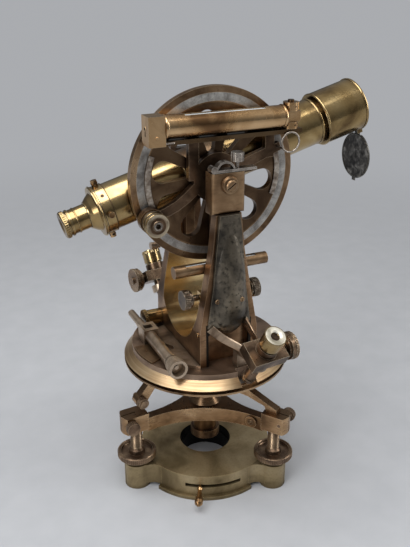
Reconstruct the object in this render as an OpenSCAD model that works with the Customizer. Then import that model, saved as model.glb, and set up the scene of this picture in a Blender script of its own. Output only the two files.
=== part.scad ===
// Six inch transit theodolite on a locking three screw base.
// The trunnion axis lies along Y, the telescope swings in the XZ plane, +Z is up,
// and the origin is the centre of the fixing thread at the foot of the base.

/* [Base] */
// Turn of the base and its three arms under the upper part, in degrees
base_turn = 65.4; // [0:0.1:119]
// Radius of the base plate
base_r = 71.4; // [66:0.2:76]
// Height of the base plate's top above the ground
base_top_z = 28; // [26:0.5:34]
// Thickness of the base plate's roof
base_roof_t = 10; // [7:0.5:10]
// Thickness of the base plate's rim
base_rim_t = 5.4; // [3:0.2:7]
// Radius of the hole in the middle of the base plate
base_hole_r = 28.3; // [25:0.1:30]
// Radius of the fixing thread in the bottom plate
thread_r = 27; // [22:0.25:28]
// Wall of the threaded collar
thread_wall = 6; // [4:0.5:8]
// Radius of the bottom plate at its three lobes
lobe_r = 75; // [72:0.5:80]
// Thickness of the bottom plate
bottom_t = 4; // [2:0.5:6]
// Radius of the notches that clear the ears in the bottom plate
lobe_notch_r = 27; // [22:0.5:30]
// Radius of the ears that hold the foot screws
ear_r = 14; // [12:0.5:16]
// Width of the saw cut in each ear
ear_slit_w = 1.2; // [0.6:0.1:2]
// Width of the web between an ear and the plate
ear_web_w = 22; // [16:1:26]

/* [Locking plate] */
// Thickness of the locking plate
lock_plate_t = 3.5; // [2.5:0.1:4]
// First edge of the lever slot, in degrees past the rear ear
slot_from = 163; // [155:1:170]
// Last edge of the lever slot, in degrees past the rear ear
slot_to = 212; // [195:1:215]
// Place of the lever in its slot, in degrees past the rear ear
lever_at = 176; // [170:1:190]
// Distance from the axis to the outer end of the lever
lever_end_r = 97; // [92:1:105]
// Radius of the lever's bulb
lever_bulb_r = 4.5; // [3.5:0.1:6]
// Radius of the lever's neck
lever_neck_r = 2.6; // [2:0.1:3.2]
// Droop of the lever, in degrees
lever_droop = 11; // [0:1:15]

/* [Foot screws] */
// Distance from the axis to each foot screw
foot_pcr = 84.5; // [82:0.5:88]
// Radius of the foot screw spindle
foot_spindle_r = 6; // [5:0.1:7]
// Radius of the ball at the foot of each screw
foot_ball_r = 7.5; // [6.5:0.1:8]
// Height of the ball's centre
foot_ball_z = 12; // [11:0.5:13]
// Radius of the neck above the ball
foot_neck_r = 4.5; // [3.5:0.1:5]
// Radius of the milled head
foot_head_r = 20.3; // [16:0.1:22]
// Height of the milled head's rim
foot_head_h = 7.5; // [5:0.5:10]
// Rise of the milled head's top above the base plate
foot_head_rise = 14.5; // [13:0.5:18]
// Depth of the dish in the milled head
foot_dish = 3; // [1:0.5:4]

/* [Tribrach] */
// Height of the underside of the arms
arm_low_z = 64; // [58:0.5:68]
// Depth of the arms
arm_h = 16; // [12:0.5:20]
// Width of the arms
arm_w = 10; // [8:0.5:14]
// Radius of the hollows between the arms
arm_hollow_r = 103; // [80:1:130]
// Height of the underside of the clamp blocks
block_low_z = 69.5; // [66:0.5:74]
// Height of the clamp blocks
block_h = 19.5; // [16:0.5:24]
// Half width of the clamp blocks
block_hw = 10; // [9:0.5:12]
// Distance from the foot screw to the inner face of its block
block_in = 11; // [9:0.5:12]
// Radius of the blocks' outer end about the foot screw
block_end_r = 16.5; // [14:0.5:18]
// Saw cut across each clamp block
block_slit_w = 1.4; // [0.8:0.1:2]
// Radius of the column that carries the circles
column_r = 13; // [12:0.5:15]
// Height of the column's top
column_top_z = 122; // [119:0.5:123]
// Lowest point of the column's tail
column_foot_z = 42; // [38:0.5:44]
// Radius of the nut under the column
centre_nut_r = 16; // [15:0.5:20]
// Height of the nut under the column
centre_nut_h = 6; // [4:0.5:8]
// Distance from the foot screw to its pinch screw
pinch_out = 9.5; // [9:0.1:10]
// Radius of the pinch screws
pinch_r = 2; // [1.5:0.1:2.5]
// Radius of the pinch screws' milled heads
pinch_head_r = 7; // [5:0.2:8]

/* [Lower clamp] */
// Outer radius of the clamp ring round the column
clamp_ring_r = 19; // [16.5:0.5:21]
// Underside of the clamp ring
clamp_ring_z = 106; // [104:0.5:109]
// Height of the clamp ring
clamp_ring_h = 12; // [8:0.5:14]
// Width of the clamp arms
clamp_arm_w = 9; // [6:0.5:11]
// Distance of the lower tangent screw from the axis
lower_screw_r = 79; // [76:0.5:81]
// Height of the lower tangent screw
lower_screw_z = 103; // [100:0.5:106]
// Radius of the lower tangent screw's head
lower_screw_head_r = 5.5; // [4:0.1:7]
// Radius of the lower tangent screw's shank
lower_screw_shank_r = 2.5; // [2:0.1:3]

/* [Horizontal circle] */
// Height of the underside of the circle's flange
limb_z = 135.6; // [134:0.2:140]
// Radius of the flange
limb_r = 86; // [80:0.5:92]
// Thickness of the flange
limb_flange_t = 2; // [1:0.1:3]
// Radius of the body of the circle above the flange
limb_body_r = 82; // [80.5:0.5:83.5]
// Height of the circle from its underside to its divided face
limb_h = 5.4; // [4.5:0.1:7]
// Inner radius of the silver divided ring
scale_in_r = 70; // [66:0.5:72]
// Outer radius of the silver divided ring
scale_out_r = 79; // [76:0.5:80]
// Thickness of the silver inlays
scale_t = 0.8; // [0.5:0.1:1.2]
// Radius of the circle's hollow spindle
limb_spindle_r = 9; // [8:0.1:10]
// Radius of the inner axis
inner_axis_r = 5; // [4:0.1:6]
// Radius of the boss under the circle
limb_boss_r = 22; // [16:0.5:26]

/* [Alidade plate] */
// Radius of the flat top of the plate
plate_r = 77.5; // [74:0.5:80]
// Height of the plate's top above the underside of the circle
plate_top_h = 19; // [17:0.2:22]
// Height of the top of the bevelled rim above the underside of the circle
bevel_top_h = 13.4; // [11:0.2:15]
// Half width of the windows under the microscopes
window_hw = 9; // [8:0.5:12]
// Innermost edge of the windows under the microscopes
window_in_r = 71; // [70:0.5:74]

/* [Standards] */
// Height of the trunnion axis
trunnion_z = 337; // [332:0.5:345]
// Half width of the space between the standards
yoke_in = 43; // [42:0.5:45]
// Half width over the standards at their feet
yoke_out_foot = 57; // [55:0.5:60]
// Half width over the standards at their heads
yoke_out_head = 53; // [51:0.5:54]
// Thickness of the yoke's floor
yoke_floor_t = 13; // [8:0.5:16]
// Half breadth of the standards at their feet
leg_hw_foot = 31; // [29:0.5:34]
// Half breadth of the standards at the waist
leg_hw_waist = 22.5; // [20:0.5:25]
// Half breadth of the standards at their heads
leg_hw_head = 13; // [11:0.5:15]
// Height of the waist above the plate
leg_waist_h = 83.5; // [78:0.5:90]
// Height of the arch at the foot of each standard
arch_h = 41; // [34:1:46]
// Half breadth of the arch
arch_hw = 22; // [16:0.5:24]
// Depth of the arch into the standard
arch_depth = 9; // [4:0.5:10]
// Bulge of the painted covers beyond the standards
cover_bulge = 4; // [2:0.5:6]
// Breadth of the plain rail beside the covers at the head
rail_w_head = 2.5; // [1.5:0.1:4]
// Breadth of the plain rail beside the covers at the foot
rail_w_foot = 8; // [5:0.5:10]

/* [Bearings] */
// Half breadth of the bearing blocks
bearing_hw = 17; // [15.5:0.5:19]
// Depth of the bearing blocks below the trunnion axis
bearing_below = 28; // [24:0.5:32]
// Height of the bearing blocks above the trunnion axis
bearing_above = 11; // [9.5:0.5:13]
// Inner face of the bearing blocks, from the middle
bearing_in = 38.5; // [38.3:0.1:41]
// Outer face of the bearing blocks, from the middle
bearing_out = 53.5; // [52:0.5:56]
// Radius of the trunnions
trunnion_r = 8; // [6:0.1:9]
// Radius of the round screw that closes each bearing
bearing_cap_r = 8.5; // [8.2:0.1:10]
// Thickness of the round screw that closes each bearing
bearing_cap_t = 3.5; // [2:0.1:5]
// Running clearance of every shaft in its bore
run_gap = 0.06; // [0.03:0.01:0.08]

/* [Trunnion clips] */
// Thickness of the clip over each bearing
clip_t = 2.4; // [1.6:0.1:3]
// Breadth of the clips
clip_w = 8.5; // [7:0.5:8.5]
// Length of the clips beyond the trunnion
clip_reach = 28; // [24:0.5:30]
// Distance of the clip hinges from the trunnion
clip_hinge_x = 14.6; // [13:0.2:15.5]
// Distance of the thumbscrews from the trunnion
thumb_x = 10; // [8:0.5:14]
// Radius of the thumbscrews' heads
thumb_r = 6; // [4:0.2:7]
// Height of the thumbscrews' heads
thumb_h = 8; // [5:0.5:10]

/* [Vertical circle] */
// Radius of the vertical circle
circle_r = 83.6; // [80:0.2:86]
// Thickness of the vertical circle
circle_t = 6.9; // [4:0.1:7]
// Front face of the vertical circle, towards the front standard
circle_face_y = -20.5; // [-21:0.1:-20]
// Inner radius of the rim
circle_rim_in = 63; // [60:0.5:64]
// Radius of the hub
circle_hub_r = 22; // [18:0.5:22.5]
// Number of spokes
spoke_count = 10; // [6:1:10]
// Turn of the first spoke from the level, in degrees
spoke_start = 8; // [0:1:35]
// Inner radius of the silver inlay
circle_scale_in = 70; // [69:0.1:72]
// Outer radius of the silver inlay
circle_scale_out = 77.4; // [75:0.1:80]

/* [Telescope] */
// Tilt of the telescope at rest, in degrees
tilt = 15.7; // [0:0.1:25]
// Distance of the telescope behind the middle of the standards
scope_y = 11; // [11:0.1:11.5]
// Radius of the main tube at the eye end
tube_r_eye = 22.6; // [21:0.1:22.8]
// Radius of the main tube at the object end
tube_r_obj = 23.4; // [23:0.1:24]
// Wall of the main tube
tube_wall = 1.6; // [1.2:0.1:1.8]
// Distance from the trunnion to the eye end of the main tube
tube_back = 99; // [94:0.5:102]
// Distance from the trunnion to the object end of the main tube
tube_front = 131; // [124:0.5:134]
// Half length of the sleeve at the trunnion
sleeve_half = 24; // [20:0.5:30]
// Radius of the sleeve at the trunnion
sleeve_r = 24.4; // [24:0.1:24.4]
// Radius of the dew cap
dew_r = 27; // [25.5:0.1:27.5]
// Length of the dew cap
dew_len = 48; // [36:0.5:54]
// Gap between the main tube and the dew cap
dew_gap = 3; // [2.6:0.1:5]
// Wall of the dew cap
dew_wall = 1.5; // [1:0.1:2]
// Radius of the cover that hangs from the dew cap
flap_r = 24.5; // [22:0.1:25]
// Thickness of the cover
flap_t = 1.2; // [0.8:0.1:2]
// Radius of the collar that holds the cross hairs
collar_r = 23.6; // [23.2:0.1:25]
// Length of the collar
collar_len = 10; // [7:0.5:12]
// Radius of the flange at the eye end
eye_flange_r = 24; // [22:0.1:26]
// Thickness of the flange at the eye end
eye_flange_t = 3; // [2:0.1:4]
// Length of the cone between the flange and the eyepiece
eye_cone_len = 9; // [6:0.5:12]
// Radius of the eyepiece barrel
eyepiece_r = 11.8; // [10:0.1:12.5]
// Radius of the eyepiece rims
eyepiece_rim_r = 13; // [12.6:0.1:14]
// Distance from the trunnion to the end of the eyepiece
eyepiece_end = 146; // [142:0.5:152]
// Radius of the focusing knob
focus_knob_r = 8; // [6:0.5:8]
// Distance of the focusing knob from the trunnion
focus_at = 74; // [66:0.5:84]

/* [Index frame] */
// Thickness of the index frame
index_t = 6; // [4:0.1:6]
// Gap between the vertical circle and the verniers
index_gap = 0.4; // [0.2:0.1:0.5]
// Thickness of the verniers
vernier_t = 1.2; // [0.8:0.1:1.4]
// Inner radius of the verniers
vernier_in = 64.5; // [63.5:0.1:66]
// Span of each vernier, in degrees
vernier_span = 43.5; // [30:0.5:50]
// Radius of the index frame's hub
index_hub_r = 24; // [20:0.5:26]
// Width of the index frame's side arms at the hub
index_arm_w = 13; // [8:0.5:16]
// Angle of the side arms above the level, in degrees
index_arm_at = 20; // [10:1:22]
// How far the reader's arm bows below a straight line
index_arm_bow = 7; // [4:0.2:8]
// Length of the index frame's lower arm below the clip screws
clip_arm_tail = 3.6; // [2:0.2:5]
// Height of the clip screws above the plate, as a share of the trunnion's height above it
clip_screw_share = 0.36732; // [0.353:0.00002:0.39]
// Distance of the clip screws in front of the middle
clip_screw_y = -36; // [-36.4:0.1:-35.6]
// Radius of the clip screws' heads
clip_head_r = 9.5; // [7:0.1:10]
// Radius of the reader barrel
reader_r = 10; // [8:0.2:11]
// Length of the reader barrel
reader_len = 21; // [16:0.5:24]
// Distance of the readers from the trunnion
reader_at = 74.5; // [72:0.5:78]
// Angle of the reader below the level, in degrees
reader_angle = 26; // [24:0.5:30]
// Radius of the empty wire ring
ring_r = 9.4; // [8:0.1:10]
// Distance of the wire ring from the trunnion
ring_at = 76; // [74:0.5:78]
// Angle of the wire ring above the level, in degrees
ring_angle = 23; // [20:0.5:24]

/* [Altitude level] */
// Height of the level's axis above the trunnion
level_h = 53; // [48:0.5:54]
// Distance of the level in front of the middle
level_y = -33; // [-34:0.1:-32.5]
// Radius of the level's tube
level_r = 10.6; // [9:0.1:11]
// Wall of the level's tube
level_wall = 1.2; // [0.8:0.1:1.6]
// Left end of the tube
level_left = -56; // [-60:0.5:-50]
// Right end of the tube
level_right = 65; // [60:0.5:70]
// Length of the square block at the left end
level_block_l = 16; // [12:0.5:20]
// Width of the square block at the left end
level_block_w = 17; // [14:0.5:20]
// Thickness of the bar below the level
level_bar_t = 4; // [3:0.2:5]
// Radius of the capstan nuts
level_nut_r = 7.5; // [5:0.1:8]

/* [Plate level] */
// Height of the plate level above the plate, as a share of the trunnion's height above it
plate_level_share = 0.53454; // [0.51:0.00002:0.553]
// Half length of the plate level
plate_level_half = 49.5; // [44:0.5:54]
// Radius of the plate level's case
plate_level_r = 6; // [5:0.1:6.2]

/* [Microscopes] */
// Turn of the microscopes from the middle of the standards, in degrees
scope_turn = 6.5; // [5:0.1:8]
// Outward lean of the microscopes, in degrees
scope_lean = 32.5; // [30:0.1:34]
// Distance of the microscopes' foot from the axis
scope_foot_r = 77.5; // [76:0.5:79]
// Radius of the microscopes' object tubes
scope_tube_r = 6; // [5:0.1:6.5]
// Distance up the microscope to its micrometer box
scope_box_w = 49; // [46:0.5:52]
// Thickness of the micrometer boxes
box_t = 12; // [9:0.5:14]
// Length of the micrometer boxes
box_l = 38; // [32:0.5:42]
// Breadth of the micrometer boxes
box_b = 26; // [22:0.5:28]
// Radius of the eyepieces of the microscopes
scope_eye_r = 10.5; // [8:0.1:11.5]
// Length of the eyepieces of the microscopes
scope_eye_l = 24; // [18:0.5:28]
// Radius of the micrometer drums
drum_r = 13.5; // [10:0.1:14.5]
// Length of the micrometer drums
drum_l = 9; // [6:0.5:12]

/* [Clamp and tangent screws] */
// Distance of the upper tangent screw to the left of the middle
tangent_x = -57; // [-59:0.5:-56]
// Height of the upper tangent screw above the plate
tangent_h = 8.6; // [7.5:0.1:10]
// Radius of the barrel round the tangent screw
tangent_barrel_r = 6; // [5:0.1:7]
// Radius of the tangent screw's milled head
tangent_head_r = 9.5; // [7:0.1:10]
// Radius of the upper clamp knob
clamp_knob_r = 9.5; // [7:0.1:10]
// Length of the upper clamp knob
clamp_knob_l = 16; // [10:0.5:20]

/* [Hidden] */
$fn = 64;
foot_angles = [0, 120, 240];
brass = "#b08a4a";
bronze = "#7a5233";
dark_bronze = "#4a3628";
silver = "#c9c6bd";
yellow_brass = "#c9a955";
olive_brass = "#6f6648";
rust = "#4b2e22";
crackle = "#2f2d2a";
lens_glass = "#9fb4b8";

// Heights that follow from the driving sizes
base_roof_z = base_top_z - base_roof_t;
lock_z = base_roof_z - lock_plate_t - 0.4;
head_top_z = base_top_z + foot_head_rise;
block_top_z = block_low_z + block_h;
pinch_z = block_low_z + block_h / 2 + 1;
plate_z = limb_z + plate_top_h;
bevel_z = limb_z + bevel_top_h;
divided_z = limb_z + limb_h;
cover_under_z = divided_z + 0.4;
yoke_floor_z = plate_z + yoke_floor_t;
bearing_low_z = trunnion_z - bearing_below;
bearing_top_z = trunnion_z + bearing_above;
waist_z = plate_z + leg_waist_h;
arch_z = plate_z + arch_h;
leg_low_bend_z = plate_z + 36;
circle_back_y = circle_face_y + circle_t;
sleeve_back_y = scope_y + sleeve_r + 0.1;
vernier_back_y = circle_face_y - index_gap;
vernier_front_y = vernier_back_y - vernier_t;
index_front_y = vernier_front_y - index_t;
index_mid_y = (vernier_front_y + index_front_y) / 2;
level_z = trunnion_z + level_h;
level_bar_top_z = level_z - level_r - 0.8;
level_bar_low_z = level_bar_top_z - level_bar_t;
clip_screw_z = plate_z + clip_screw_share * (trunnion_z - plate_z);
plate_level_z = plate_z + plate_level_share * (trunnion_z - plate_z);
plate_level_y = -yoke_in + plate_level_r + 0.8;
arm_screw_y = yoke_in - 3.8;
clamp_knob_y = yoke_out_foot - 7;
clamp_knob_z = plate_z + clamp_knob_r + 0.6;
tangent_z = plate_z + tangent_h;
clip_low_z = bearing_top_z + 0.5;
clip_y = -bearing_out + 0.6;
dew_back = tube_front + dew_gap;
dew_front = dew_back + dew_len;
flange_back = tube_back + collar_len;
eye_cone_back = flange_back + eye_flange_t + eye_cone_len;
tip = 60;

// Cylinder along X between two places
module rod_x(r, x0, x1, r2 = undef) {
    translate([x0, 0, 0]) rotate([0, 90, 0])
        cylinder(r1 = r, r2 = is_undef(r2) ? r : r2, h = x1 - x0);
}

// Cylinder along Y between two places
module rod_y(r, y0, y1, r2 = undef) {
    translate([0, y0, 0]) rotate([-90, 0, 0])
        cylinder(r1 = r, r2 = is_undef(r2) ? r : r2, h = y1 - y0);
}

// Tube along Z from height 0
module tube_z(ro, ri, h) {
    difference() {
        cylinder(r = ro, h = h);
        translate([0, 0, -1]) cylinder(r = ri, h = h + 2);
    }
}

// Tube along X between two places
module tube_x(ro, ri, x0, x1) {
    translate([x0, 0, 0]) rotate([0, 90, 0]) tube_z(ro, ri, x1 - x0);
}

// Tube along Y between two places
module tube_y(ro, ri, y0, y1) {
    translate([0, y0, 0]) rotate([-90, 0, 0]) tube_z(ro, ri, y1 - y0);
}

// Box from its lowest to its highest corner
module box(low, high) {
    translate(low) cube(high - low);
}

// Plate of an outline in X and Z, between two places along Y
module plate_xz(y0, y1) {
    translate([0, y1, 0]) rotate([90, 0, 0]) linear_extrude(y1 - y0) children();
}

// Plate of an outline in Y and Z, between two places along X
module plate_yz(x0, x1) {
    translate([x0, 0, 0]) rotate([90, 0, 90]) linear_extrude(x1 - x0) children();
}

// Pie slice that reaches past radius r, between two angles less than 180 degrees apart
module slice(r, a0, a1) {
    m = (a0 + a1) / 2;
    far = r / cos((a1 - a0) / 4);
    polygon([[0, 0], [r * cos(a0), r * sin(a0)], [far * cos((a0 + m) / 2), far * sin((a0 + m) / 2)],
        [far * cos((a1 + m) / 2), far * sin((a1 + m) / 2)], [r * cos(a1), r * sin(a1)]]);
}

// Curved strip between two radii and two angles
module arc_strip(ri, ro, a0, a1) {
    difference() {
        intersection() {
            circle(r = ro);
            slice(2 * ro, a0, a1);
        }
        circle(r = ri);
    }
}

// Window with round ends of different radii, along X
module egg(x1, r1, x2, r2) {
    s = (r2 - r1) / (x2 - x1);
    c = sqrt(1 - s * s);
    translate([x1, 0]) circle(r = r1);
    translate([x2, 0]) circle(r = r2);
    polygon([[x1 - r1 * s, -r1 * c], [x2 - r2 * s, -r2 * c], [x2 - r2 * s, r2 * c],
        [x1 - r1 * s, r1 * c]]);
}

// Places a child at each foot screw, or at one of them
module at_feet(which = [0, 1, 2]) {
    for (i = which) rotate([0, 0, base_turn + foot_angles[i]]) children();
}

// Places a child in the telescope's own frame, with its axis along X
module on_telescope() {
    translate([0, 0, trunnion_z]) rotate([0, -tilt, 0]) children();
}

// Places a child in a microscope's own frame, with its axis along Z
module on_microscope(back) {
    rotate([0, 0, scope_turn + 180 * back]) translate([0, -scope_foot_r, divided_z])
        rotate([scope_lean, 0, 0]) children();
}

// Front and back copies of a child
module both_standards() {
    children();
    mirror([0, 1, 0]) children();
}

module base_plate() {
    ball_hole = foot_ball_r + run_gap;
    neck_hole = foot_neck_r + run_gap;
    color(olive_brass) difference() {
        union() {
            translate([0, 0, bottom_t]) cylinder(r = base_r, h = base_top_z - bottom_t);
            at_feet() {
                translate([foot_pcr, 0, 0]) cylinder(r = ear_r, h = base_top_z + 0.4);
                box([base_r - 12, -ear_web_w / 2, bottom_t + 0.4],
                    [foot_pcr, ear_web_w / 2, base_top_z - 0.4]);
            }
        }
        cylinder(r = base_hole_r, h = base_top_z + 1);
        translate([0, 0, -1]) cylinder(r = base_r - base_rim_t, h = base_roof_z + 1);
        at_feet() {
            translate([foot_pcr, 0, 0]) rotate_extrude() polygon([[0, -1], [ball_hole, -1],
                [ball_hole, foot_ball_z + 0.42 * foot_ball_r], [neck_hole, foot_ball_z + foot_ball_r],
                [neck_hole, base_top_z + 1], [0, base_top_z + 1]]);
            box([foot_pcr, -ear_slit_w / 2, -1],
                [foot_pcr + ear_r + 1, ear_slit_w / 2, base_top_z + 1]);
        }
        rotate([0, 0, base_turn]) translate([0, 0, lock_z - 0.3])
            linear_extrude(base_roof_z - lock_z + 0.3) arc_strip(base_r - base_rim_t - 1,
                base_r + 2, slot_from, slot_to);
    }
}

module bottom_plate() {
    color(olive_brass) difference() {
        union() {
            cylinder(r = base_r - base_rim_t - 0.1, h = bottom_t);
            difference() {
                cylinder(r = lobe_r, h = bottom_t);
                at_feet() translate([foot_pcr, 0, -1]) cylinder(r = lobe_notch_r, h = bottom_t + 2);
            }
            cylinder(r = thread_r + thread_wall, h = base_roof_z);
            cylinder(r = thread_r + thread_wall + 7, h = lock_z - 0.2);
        }
        translate([0, 0, -1]) cylinder(r = thread_r, h = base_top_z);
        at_feet() translate([foot_pcr, 0, -1]) cylinder(r = ear_r + 0.3, h = bottom_t + 2);
    }
}

module locking_plate() {
    color(dark_bronze) difference() {
        translate([0, 0, lock_z])
            tube_z(base_r - base_rim_t - 0.4, thread_r + thread_wall + run_gap, lock_plate_t);
        rotate([0, 0, base_turn + lever_at]) translate([0, 0, lock_z + lock_plate_t / 2])
            rod_x(lever_neck_r - 0.9, base_r - 20, base_r);
    }
}

module locking_lever() {
    stem = lever_neck_r - 0.9;
    lock_mid = lock_z + lock_plate_t / 2;
    l = lever_end_r - base_r - 3;
    color(brass) rotate([0, 0, base_turn + lever_at]) translate([0, 0, lock_mid]) {
        rod_x(stem, base_r - 20, base_r + 4);
        translate([base_r + 3, 0, 0]) rotate([0, 90 + lever_droop, 0])
            rotate_extrude() polygon([[0, 0], [lever_neck_r, 0], [lever_neck_r + 0.4, 1.5],
                [lever_neck_r - 0.4, 3.5], [lever_neck_r, 0.4 * l], [lever_bulb_r - 0.4, 0.62 * l],
                [lever_bulb_r, 0.75 * l], [lever_bulb_r - 0.5, l - 2.5],
                [lever_bulb_r - 2.5, l - 0.5], [0, l]]);
    }
}

module foot_screw(i) {
    rim = head_top_z - foot_head_h;
    color(rust) at_feet([i]) translate([foot_pcr, 0, 0]) {
        translate([0, 0, foot_ball_z]) sphere(r = foot_ball_r);
        translate([0, 0, foot_ball_z]) cylinder(r = foot_neck_r, h = rim - foot_ball_z);
        rotate_extrude() polygon([[0, rim - 4], [10, rim - 4], [12, rim],
            [foot_head_r - 1, rim], [foot_head_r, rim + 1], [foot_head_r, head_top_z - 0.7],
            [foot_head_r - 0.7, head_top_z], [foot_head_r - 1.8, head_top_z],
            [foot_head_r - 4, head_top_z - foot_dish], [9, head_top_z - foot_dish],
            [8, head_top_z + 1], [foot_spindle_r, head_top_z + 3], [0, head_top_z + 3]]);
        translate([0, 0, head_top_z]) cylinder(r = foot_spindle_r, h = block_top_z - 3 - head_top_z);
    }
}

module tribrach() {
    reach = foot_pcr - block_in;
    hollow_d = (arm_w / 2 + arm_hollow_r) / sin(60);
    color(bronze) difference() {
        union() {
            rotate([0, 0, base_turn]) translate([0, 0, arm_low_z]) linear_extrude(arm_h)
                difference() {
                    polygon([for (a = foot_angles, s = [-1, 1])
                        [reach * cos(a) - s * arm_w / 2 * sin(a),
                            reach * sin(a) + s * arm_w / 2 * cos(a)]]);
                    for (a = foot_angles)
                        rotate(a + 60) translate([hollow_d, 0]) circle(r = arm_hollow_r, $fn = 160);
                }
            at_feet() {
                translate([0, 0, block_low_z]) linear_extrude(block_h) intersection() {
                    translate([reach, -block_hw]) square([60, 2 * block_hw]);
                    translate([foot_pcr, 0]) circle(r = block_end_r);
                }
                translate([60, 0, arm_low_z + 8]) rod_y(6.5, -arm_w / 2 - 2, 0);
            }
            translate([0, 0, column_foot_z]) cylinder(r = column_r, h = column_top_z - column_foot_z);
            translate([0, 0, arm_low_z + arm_h]) cylinder(r1 = column_r + 5, r2 = column_r, h = 7);
        }
        translate([0, 0, column_foot_z - 1])
            cylinder(r = limb_spindle_r + run_gap, h = column_top_z);
        at_feet() {
            translate([foot_pcr, 0, block_low_z - 1])
                cylinder(r = foot_spindle_r + run_gap, h = block_h - 1);
            box([foot_pcr, -block_slit_w / 2, block_low_z - 1],
                [foot_pcr + 30, block_slit_w / 2, block_top_z + 1]);
            translate([foot_pcr + pinch_out, 0, pinch_z]) rod_y(pinch_r, -40, 40);
        }
    }
}

module pinch_screws() {
    color(rust) at_feet() {
        translate([foot_pcr + pinch_out, 0, pinch_z]) {
            rod_y(pinch_r, -block_hw, block_hw);
            rod_y(pinch_head_r - 0.8, block_hw, block_hw + 2.5);
            rod_y(pinch_head_r, block_hw + 2.5, block_hw + 8);
        }
    }
}

module centre_nut() {
    color(rust) translate([0, 0, column_foot_z - centre_nut_h]) {
        tube_z(centre_nut_r, limb_spindle_r + 1.5, centre_nut_h);
        translate([0, 0, centre_nut_h]) tube_z(centre_nut_r, column_r, 3);
    }
}

module lower_clamp() {
    low = clamp_ring_z;
    top = clamp_ring_z + clamp_ring_h;
    hw = clamp_arm_w / 2;
    screw = lower_screw_shank_r + run_gap;
    color(bronze) difference() {
        union() {
            translate([0, 0, low]) cylinder(r = clamp_ring_r, h = clamp_ring_h);
            at_feet([2]) plate_xz(-hw, hw)
                polygon([[0, top - 0.5], [0, low + 0.5], [foot_pcr - 30, low - 5],
                    [foot_pcr - 10, block_top_z + 6], [foot_pcr - 8, block_top_z], [foot_pcr + 4, block_top_z],
                    [foot_pcr + 4, block_top_z + 5], [foot_pcr - 6, block_top_z + 9],
                    [foot_pcr - 30, low + 3], [24, top - 0.5]]);
            at_feet([1]) {
                plate_xz(-hw, hw) polygon([[0, top - 0.5], [0, low + 0.5], [lower_screw_r - 25, top + 1],
                    [lower_screw_r - 20, top + 1], [lower_screw_r - 6, lower_screw_z - 3],
                    [lower_screw_r + 4, lower_screw_z + 3], [lower_screw_r - 14, top + 8],
                    [lower_screw_r - 28, top + 8]]);
                translate([lower_screw_r, 0, lower_screw_z]) rod_y(6.2, -hw, hw);
            }
        }
        translate([0, 0, low - 1]) cylinder(r = column_r, h = clamp_ring_h + 12);
        at_feet([1]) translate([lower_screw_r, 0, lower_screw_z]) rod_y(screw, -30, 30);
    }
}

module lower_tangent_screw() {
    hw = clamp_arm_w / 2;
    color(rust) at_feet([1]) translate([lower_screw_r, 0, lower_screw_z]) {
        rod_y(lower_screw_shank_r, -hw - 6, hw + 2);
        rod_y(lower_screw_head_r, hw + 0.3, hw + 7);
        rod_y(lower_screw_head_r - 1.5, hw + 7, hw + 8);
    }
}

module limb() {
    color(dark_bronze) difference() {
        union() {
            translate([0, 0, limb_z]) cylinder(r = limb_r, h = limb_flange_t, $fn = 160);
            translate([0, 0, limb_z]) cylinder(r = limb_body_r, h = limb_h, $fn = 160);
            translate([0, 0, column_top_z + 0.5])
                cylinder(r = limb_boss_r, h = limb_z - column_top_z);
            translate([0, 0, column_foot_z + 6])
                cylinder(r = limb_spindle_r, h = limb_z - column_foot_z - 5);
        }
        cylinder(r = inner_axis_r + run_gap, h = 200);
        translate([0, 0, divided_z - scale_t])
            tube_z(scale_out_r, scale_in_r, 2);
    }
}

module horizontal_scale() {
    color(silver) translate([0, 0, divided_z - scale_t]) tube_z(scale_out_r, scale_in_r, scale_t);
}

module alidade_plate() {
    color(brass) difference() {
        union() {
            translate([0, 0, cover_under_z])
                cylinder(r1 = limb_r, r2 = plate_r, h = bevel_z - cover_under_z, $fn = 160);
            translate([0, 0, bevel_z]) cylinder(r = plate_r, h = plate_z - bevel_z, $fn = 160);
        }
        cylinder(r = inner_axis_r, h = 200);
        for (k = [0, 1]) rotate([0, 0, scope_turn + 180 * k])
            box([-window_hw, -limb_r - 5, limb_z], [window_hw, -window_in_r, plate_z + 5]);
    }
}

module alidade_axis() {
    color(dark_bronze) translate([0, 0, column_foot_z + 8])
        cylinder(r = inner_axis_r, h = plate_z - column_foot_z - 8);
}

// Outline of a standard seen from the front
module standard_outline(inset_head = 0, inset_foot = 0, low = 0) {
    h = leg_hw_head - inset_head;
    w = leg_hw_waist - (inset_head + inset_foot) / 2;
    f = leg_hw_foot - inset_foot;
    mid_w = (leg_hw_waist + leg_hw_head) / 2 - 1.2 - inset_head;
    mid_z = (waist_z + bearing_low_z) / 2;
    low_z = plate_z + low;
    polygon([[-f, low_z], [f, low_z], [f, max(leg_low_bend_z, low_z + 1)], [w, waist_z],
        [mid_w, mid_z], [h, bearing_low_z], [-h, bearing_low_z], [-mid_w, mid_z], [-w, waist_z],
        [-f, max(leg_low_bend_z, low_z + 1)]]);
}

module standards() {
    curve_z = yoke_floor_z + yoke_in;
    lug_in = leg_hw_waist - 8;
    color(bronze) difference() {
        union() {
            yoke(curve_z);
            for (s = [-1, 1]) box([min(s * lug_in, s * leg_hw_waist), -yoke_in - 2, clip_screw_z - 5.5],
                [max(s * lug_in, s * leg_hw_waist), clip_screw_y + 5, clip_screw_z + 5.5]);
            box([-17, arm_screw_y - 3.5, plate_level_z - 4], [-10, yoke_in + 2, plate_level_z + 4]);
        }
        translate([0, clip_screw_y, clip_screw_z]) rod_x(3 + run_gap, -tip, tip);
        translate([0, clamp_knob_y, clamp_knob_z])
            rod_x(3 + run_gap, -leg_hw_foot - 1, -leg_hw_foot + 8);
        translate([0, arm_screw_y, plate_level_z]) rod_x(2 + run_gap, -tip, tip);
    }
}

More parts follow.
